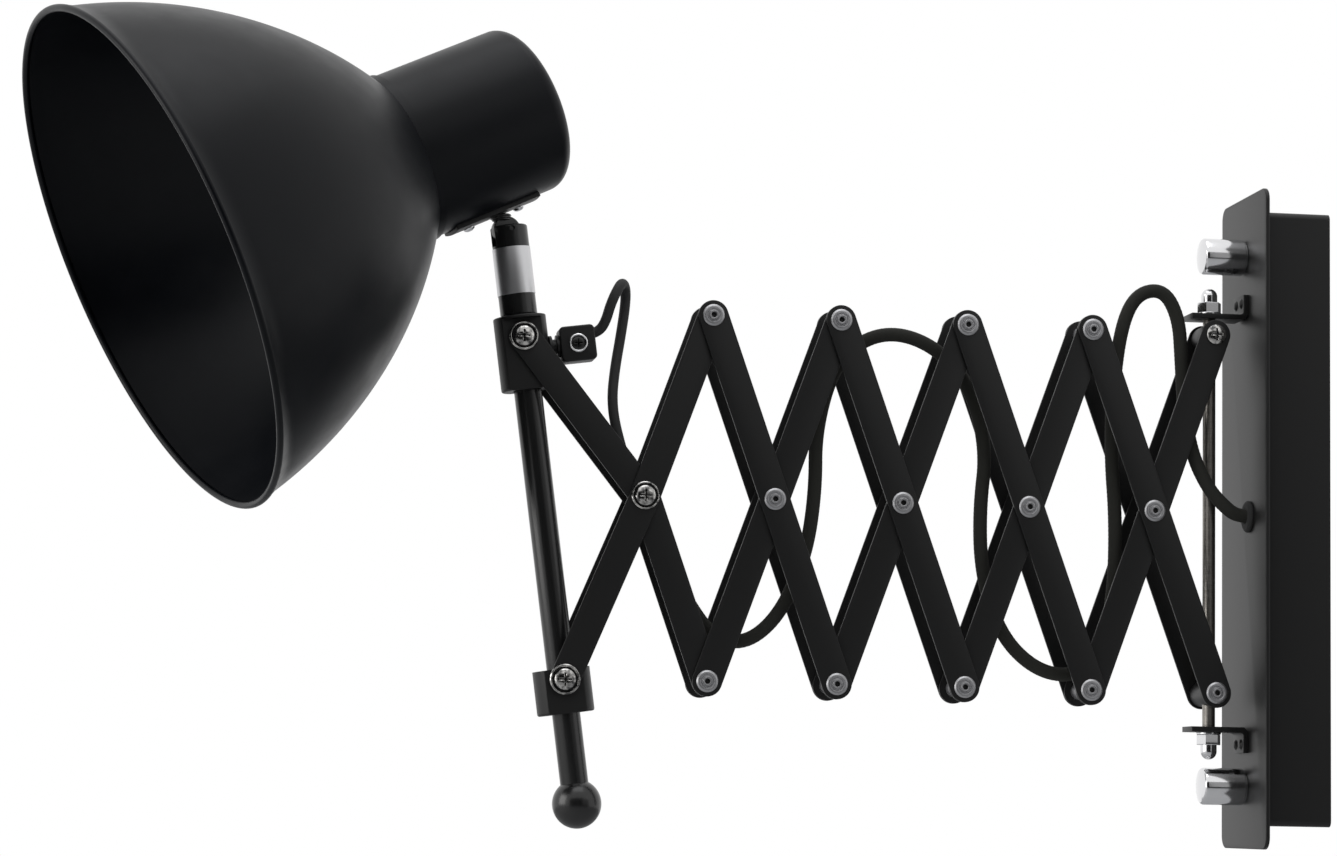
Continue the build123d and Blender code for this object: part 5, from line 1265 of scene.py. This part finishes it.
def painted_recess_shadows(place, face, head_radius, gap=0.0):
    """Painted shade, front and rear: dark plates at the bottoms of the cross slots and, given a gap, a dark
    ring in the gap round the head.
    """
    ring = rod(face - RING_GAP_HALF, face + RING_GAP_HALF, head_radius + gap, head_radius - RING_UNDER)
    shells = []
    for side in SIDES:
        shells.append(slot_shadow_plate(place, side, face + SLOT_SHADOW_LIFT, head_radius))
        if gap:
            shells.append(turned(ring, place, side, UP, edge=0))
    return shells


def cupped_screws(place, face, ring_radius, tip, head_radius):
    """Cross-slot screws in dished rings, front and rear."""
    seat, bore = face + WASHER_DISH, head_radius - 0.6
    ring = [
        (face, bore), (seat - 0.3, bore), (seat - 0.3, head_radius + 0.75), (seat + 0.45, ring_radius - 0.9),
        (seat + 0.5, ring_radius - 0.6), (seat + 0.1, ring_radius - 0.15), (face, ring_radius),
    ]
    shells = []
    for side in SIDES:
        shells.append(turned(ring, place, side, UP, edge=0.15))
        shells.append(slotted_head(place, side, seat - 0.25, head_radius, SCREW_DOME))
        shells.append(turned(rod(tip, seat, SHANK_RADIUS), place, side, UP))
    return shells


# ---------------------------------------------------------------- lamp end
class WALLLAMP_OT_lamp_end(bpy.types.Operator):
    """Make the collars, the clamp, the tube, the stem, its band and the ball."""

    bl_idname = "wall_lamp.lamp_end"
    bl_label = "Lamp end"

    def execute(self, context):
        for name, hinge, size in (
            ("upper_collar", LAMP_TOP, UPPER_COLLAR),
            ("lower_collar", LAMP_BOTTOM, LOWER_COLLAR),
        ):
            piece(name + "_body", [self.collar(hinge, **size)], name, "coat", [name])
        self.screws("upper_collar", LAMP_TOP, LAST_RISING_OUT + BAR_GAP, UPPER_SCREW, UPPER_RING)
        self.screws("lower_collar", LAMP_BOTTOM, FALLING_OUT + BAR_GAP, LOWER_SCREW, LOWER_RING)
        self.clamp()
        bottom = BALL_CENTRE + TUBE_UP * (BALL_RADIUS - BALL_SUNK)
        length = np.linalg.norm(STEM_FOOT - bottom) + STEM_SUNK
        piece("tube_body", [turned(rod(0, length, TUBE_RADIUS), bottom, TUBE_UP, TUBE_IN)], "tube", "gloss",
              ["lamp_tube"])
        piece("ball", [ball(BALL_CENTRE, BALL_RADIUS, 96)], "tube", "gloss", ["ball_knob"])
        finish_nodes("gloss", "stem", "tilt_bolt")
        band = rod(BAND_UP, BAND_UP + BAND_HEIGHT, STEM_RADIUS + BAND_THICKNESS, STEM_RADIUS)
        piece("band", [turned(band, STEM_FOOT, TUBE_UP, TUBE_IN, steps=128, edge=0.08)], "tube", "band",
              ["label_band"])
        return {"FINISHED"}

    def screws(self, name, hinge, face, head_radius, ring_radius):
        """A collar's screws in their dished rings, and the dark plates and rings that paint the shade in
        their slots and round their heads.
        """
        shells = cupped_screws(hinge, face, ring_radius, TUBE_RADIUS + SHANK_CLEAR, head_radius)
        piece(name + "_screw_heads", shells, name, "screw", [name + "_screws"])
        shadow_plates = painted_recess_shadows(hinge, face + RING_SHADOW_FACE, head_radius, RING_GAP)
        piece(name + "_recesses", shadow_plates, name, "gloss", [name + "_screws"])

    def collar(self, hinge, radius, above, below, flat, flat_top):
        """Turned collar whose |y| is held within the flat, up to the flat's top."""
        inner = TUBE_RADIUS + PLAY
        profile = [(-below, inner), (above, inner), (above, radius), (flat_top, radius), (-below, radius)]
        points, faces = turned(rounded(profile, COLLAR_EDGE, 5), hinge, TUBE_UP, TUBE_IN, steps=144, edge=0)
        height = (points - hinge) @ TUBE_UP
        cut = height < flat_top - 1e-6 if flat_top < above else np.ones(len(points), bool)
        points[cut, 1] = np.clip(points[cut, 1], -flat, flat)
        return points, faces

    def clamp(self):
        """Cord clamp: a block on a nipple with washers, and a dark screw in a bright ring."""
        near, inner, seat = CLAMP_OUT - CLAMP_SIZE / 2, UPPER_COLLAR["radius"], CLAMP_DEPTH / 2
        low, high = inner + CLAMP_WASHER_THICKNESS, near - CLAMP_WASHER_THICKNESS
        start, end = inner - CLAMP_SUNK, near + CLAMP_SUNK
        nipple = [
            (start, 0), (end, 0), (end, CLAMP_SHANK), (near, CLAMP_SHANK), (near, CLAMP_WASHER),
            (high, CLAMP_WASHER), (high, CLAMP_SPACER), (low, CLAMP_SPACER), (low, CLAMP_WASHER),
            (inner, CLAMP_WASHER), (inner, CLAMP_SHANK), (start, CLAMP_SHANK),
        ]
        piece("nipple", [turned(nipple, CLAMP_AXIS, TUBE_IN, TUBE_UP, edge=0.2)], "upper_collar", "coat",
              ["clamp_nipple"])
        block = carried(rounded_rectangle(CLAMP_SIZE, CLAMP_SIZE, CLAMP_CORNER),
                        sheet_edge(CLAMP_DEPTH, CLAMP_EDGE, 6), CLAMP_CENTRE - FRONT * seat, TUBE_IN, TUBE_UP)
        piece("clamp_block", [block], "upper_collar", "coat", ["cord_clamp"])
        ring = [(seat - 0.5, 3.4), (seat + 0.9, 3.4), (seat + 1.2, 3.8), (seat + 0.9, 4.3), (seat, 4.7),
                (seat - 0.5, 4.7)]
        piece("clamp_screw_ring", [turned(ring, CLAMP_CENTRE, FRONT, UP, edge=0.2)], "upper_collar", "chrome",
              ["clamp_screw"])
        head = slotted_head(CLAMP_CENTRE, FRONT, seat - CLAMP_SCREW_SEAT, CLAMP_SCREW, CLAMP_SCREW_DOME,
                            CLAMP_SLOT_DEPTH)
        shank = turned(rod(seat - CLAMP_SCREW_LENGTH, seat, CLAMP_SCREW_SHANK), CLAMP_CENTRE, FRONT, UP)
        piece("clamp_screw_head", [head, shank], "upper_collar", "gloss", ["clamp_screw"])


# ---------------------------------------------------------------- lamp head
class WALLLAMP_OT_swivel(bpy.types.Operator):
    """Make the tilting neck and the saddle under the cup."""

    bl_idname = "wall_lamp.swivel"
    bl_label = "Swivel"

    def execute(self, context):
        seat = CUP_RADIUS + SADDLE_THICKNESS
        self.neck(PIVOT_OFF - seat)
        spread = np.degrees(np.arcsin(SADDLE_WIDTH / 2 / CUP_RADIUS))
        low = arc((0, 0), seat, 180 - spread, 180 + spread, 16)
        high = arc((0, 0), CUP_RADIUS + SADDLE_GAP, 180 + spread, 180 - spread, 16)
        saddle = carried(np.vstack([low, high]), sheet_edge(SADDLE_END - SADDLE_START, SADDLE_EDGE),
                         RIM_CENTRE + HEAD_BACK * SADDLE_START, HEAD_UP, np.cross(HEAD_BACK, HEAD_UP))
        piece("saddle", [saddle], "head", "coat", ["cup_saddle"])
        tip = seat - SADDLE_SCREW_LENGTH
        head = [(seat + height, radius) for height, radius in SADDLE_HEAD]
        profile = [(tip, 0)] + head + [(tip, SADDLE_SHANK)]
        screws = [turned(profile, RIM_CENTRE + HEAD_BACK * place, -HEAD_UP, HEAD_BACK, edge=0.3)
                  for place in SADDLE_SCREWS]
        piece("saddle_screw_heads", screws, "head", "chrome", ["saddle_screws"])
        return {"FINISHED"}

    def neck(self, under):
        """Eye on the tilt bolt and a ribbed neck that widens upward to the saddle."""
        base = EYE_RADIUS - NECK_BASE
        rib = (under - base) / NECK_RIBS
        profile = [(0.0, 0), (0.0, NECK_ROOT), (base, NECK_ROOT)]
        for n in range(NECK_RIBS):
            low, swell = base + n * rib, NECK_RADIUS - RIB_STEP * (NECK_RIBS - 1 - n)
            profile += [(low, swell - RIB_GROOVE), (low + rib * 0.2, swell), (low + rib * 0.8, swell)]
        profile += [(under + NECK_SUNK, NECK_RADIUS - RIB_GROOVE), (under + NECK_SUNK, 0)]
        neck = turned(profile, TILT_PIVOT, HEAD_UP, OUTWARD, edge=0.2)
        disc = rod(-EYE_THICKNESS / 2, EYE_THICKNESS / 2, EYE_RADIUS)
        eye = turned(disc, TILT_PIVOT, TILT_AXIS, TUBE_UP, edge=0.5)
        piece("neck", [neck, eye], "head", "gloss", ["swivel_neck"])


class WALLLAMP_OT_head(bpy.types.Operator):
    """Make the shade, the cup and the lampholder."""

    bl_idname = "wall_lamp.head"
    bl_label = "Lamp head"

    def execute(self, context):
        steps = context.scene.lamp_edges.shade_steps
        for name, profile, node in (
            ("bell", self.shade_profile(), "shade"),
            ("cup", self.cup_profile(), "socket_cup"),
        ):
            shell = turned(profile, RIM_CENTRE, HEAD_BACK, HEAD_UP, steps=steps, edge=0)
            piece(name, [shell], "head", "shade", [node])
        self.holder()
        return {"FINISHED"}

    def cup_profile(self):
        """Straight cup with a rounded end: quarter circles outside and, a wall further in, inside."""
        turn = np.linspace(0, pi / 2, 14)
        outer, inner = (
            [(CUP_END - CUP_ROUND + radius * cos(t), CUP_RADIUS - CUP_ROUND + radius * sin(t)) for t in turn]
            for radius in (CUP_ROUND, CUP_ROUND - CUP_WALL)
        )
        mouth = [(CUP_START, CUP_RADIUS), (CUP_START, CUP_RADIUS - CUP_WALL)]
        return [(CUP_END, 0)] + outer + mouth + inner[::-1] + [(CUP_END - CUP_WALL, 0)]

    def shade_profile(self):
        """One arc through rim, middle and neck; the wall lies inside it; the rim ends in a rolled bead."""
        neck_radius, clear = CUP_RADIUS + SHADE_WALL, CUP_RADIUS + PLAY
        a, b = np.array([0, SHADE_RADIUS]), np.array(SHADE_MIDDLE)
        c = np.array([SHADE_DEPTH - SHADE_NECK, neck_radius])
        centre = np.linalg.solve(2 * np.array([b - a, c - a]), [b @ b - a @ a, c @ c - a @ a])
        radius = np.linalg.norm(a - centre)
        angle = np.linspace(*(atan2(*(p - centre)[::-1]) for p in (a, c)), 72)
        outward = np.stack([np.cos(angle), np.sin(angle)], axis=1)
        outer, inner = centre + radius * outward, centre + (radius - SHADE_WALL) * outward
        inner[:, 1] = np.maximum(inner[:, 1], clear)
        neck = [(SHADE_DEPTH, neck_radius), (SHADE_DEPTH, clear)]
        bead = arc((BEAD_INSET, SHADE_RADIUS - BEAD_INSET), BEAD_RADIUS, BEAD_OPEN, 360 - BEAD_OPEN, 28)
        return np.vstack([outer[BEAD_POINTS:], neck, inner[::-1][:-BEAD_POINTS], bead[::-1]])

    def holder(self):
        """Porcelain lampholder with its threaded shell, contact, nipple and shade ring."""
        back, front, wall = HOLDER_BACK, HOLDER_FRONT, THREAD_RADIUS + THREAD_GAP
        floor, shoulder = front + THREAD_DEPTH + HOLDER_FLOOR, back - HOLDER_SHOULDER
        skirt, narrow = front + HOLDER_SKIRT, HOLDER_RADIUS - HOLDER_STEP
        body = [
            (back, HOLDER_BORE), (back, HOLDER_RADIUS - HOLDER_CHAMFER), (shoulder, HOLDER_RADIUS),
            (skirt, HOLDER_RADIUS), (skirt, narrow), (front, narrow), (front, wall), (floor, wall),
            (floor, HOLDER_BORE),
        ]
        piece("holder", [self.on_axis(body, 0.8)], "head", "ceramic", ["lampholder"])
        ridges = front + 1 + np.linspace(0, THREAD_DEPTH - 1, 121)
        wave = THREAD_WAVE * np.cos((ridges - front) * 2 * pi / THREAD_PITCH) - THREAD_WAVE
        thread = np.stack([ridges, THREAD_RADIUS + THREAD_SHELL + wave], axis=1)
        shell = np.vstack([thread, [(ridges[-1], wall), (ridges[0], wall)]])
        contact = rod(front + THREAD_DEPTH + CONTACT_LIFT, floor, CONTACT_RADIUS)
        piece("thread_shell", [self.on_axis(shell, 0), self.on_axis(contact, 0.4)], "head", "brass",
              ["lampholder_contacts"])
        nipple = [rod(shoulder, CUP_END, NIPPLE_RADIUS, NIPPLE_BORE),
                  rod(back, CUP_END - CUP_WALL, NIPPLE_FLANGE, NIPPLE_RADIUS)]
        piece("holder_nipple", [self.on_axis(profile, 0.2) for profile in nipple], "head", "zinc",
              ["lampholder_nipple"])
        low = front + SHADE_RING_PLACE
        ring = rod(low, low + SHADE_RING_LENGTH, SHADE_RING_RADIUS, narrow)
        piece("shade_ring_nut", [self.on_axis(ring, 0.6)], "head", "plastic", ["shade_ring"])

    def on_axis(self, profile, edge):
        """Profile turned about the head's axis."""
        return turned(profile, RIM_CENTRE, HEAD_BACK, HEAD_UP, steps=96, edge=edge)


# ---------------------------------------------------------------- panel
OPERATORS = (
    WALLLAMP_OT_stage, WALLLAMP_OT_cords, WALLLAMP_OT_wall, WALLLAMP_OT_spindle, WALLLAMP_OT_lattice,
    WALLLAMP_OT_pivots, WALLLAMP_OT_lamp_end, WALLLAMP_OT_swivel, WALLLAMP_OT_head,
)
GROUPS = {
    "lamp_finishes": LampFinishes,
    "lamp_cords": LampCords,
    "lamp_edges": LampEdges,
    "lamp_studio": LampStudio,
}


class VIEW3D_PT_wall_lamp(bpy.types.Panel):
    """Sizes, colours and the steps that build the lamp."""

    bl_label = "Wall Lamp"
    bl_space_type = "VIEW_3D"
    bl_region_type = "UI"
    bl_category = "Wall Lamp"

    def draw(self, context):
        for name in GROUPS:
            settings = getattr(context.scene, name)
            for key in settings.__annotations__:
                self.layout.prop(settings, key)
        for operator in OPERATORS:
            self.layout.operator(operator.bl_idname)


def register():
    """Register the settings, the operators and the panel."""
    for group in GROUPS.values():
        bpy.utils.register_class(group)
    for name, group in GROUPS.items():
        setattr(bpy.types.Scene, name, bpy.props.PointerProperty(type=group))
    for operator in OPERATORS:
        bpy.utils.register_class(operator)
    bpy.utils.register_class(VIEW3D_PT_wall_lamp)


def unregister():
    """Take them all out again."""
    bpy.utils.unregister_class(VIEW3D_PT_wall_lamp)
    for operator in reversed(OPERATORS):
        bpy.utils.unregister_class(operator)
    for name, group in GROUPS.items():
        delattr(bpy.types.Scene, name)
        bpy.utils.unregister_class(group)


def main():
    """Build the whole lamp."""
    register()
    for operator in OPERATORS:
        group, name = operator.bl_idname.split(".")
        getattr(getattr(bpy.ops, group), name)()


if __name__ == "__main__":
    main()
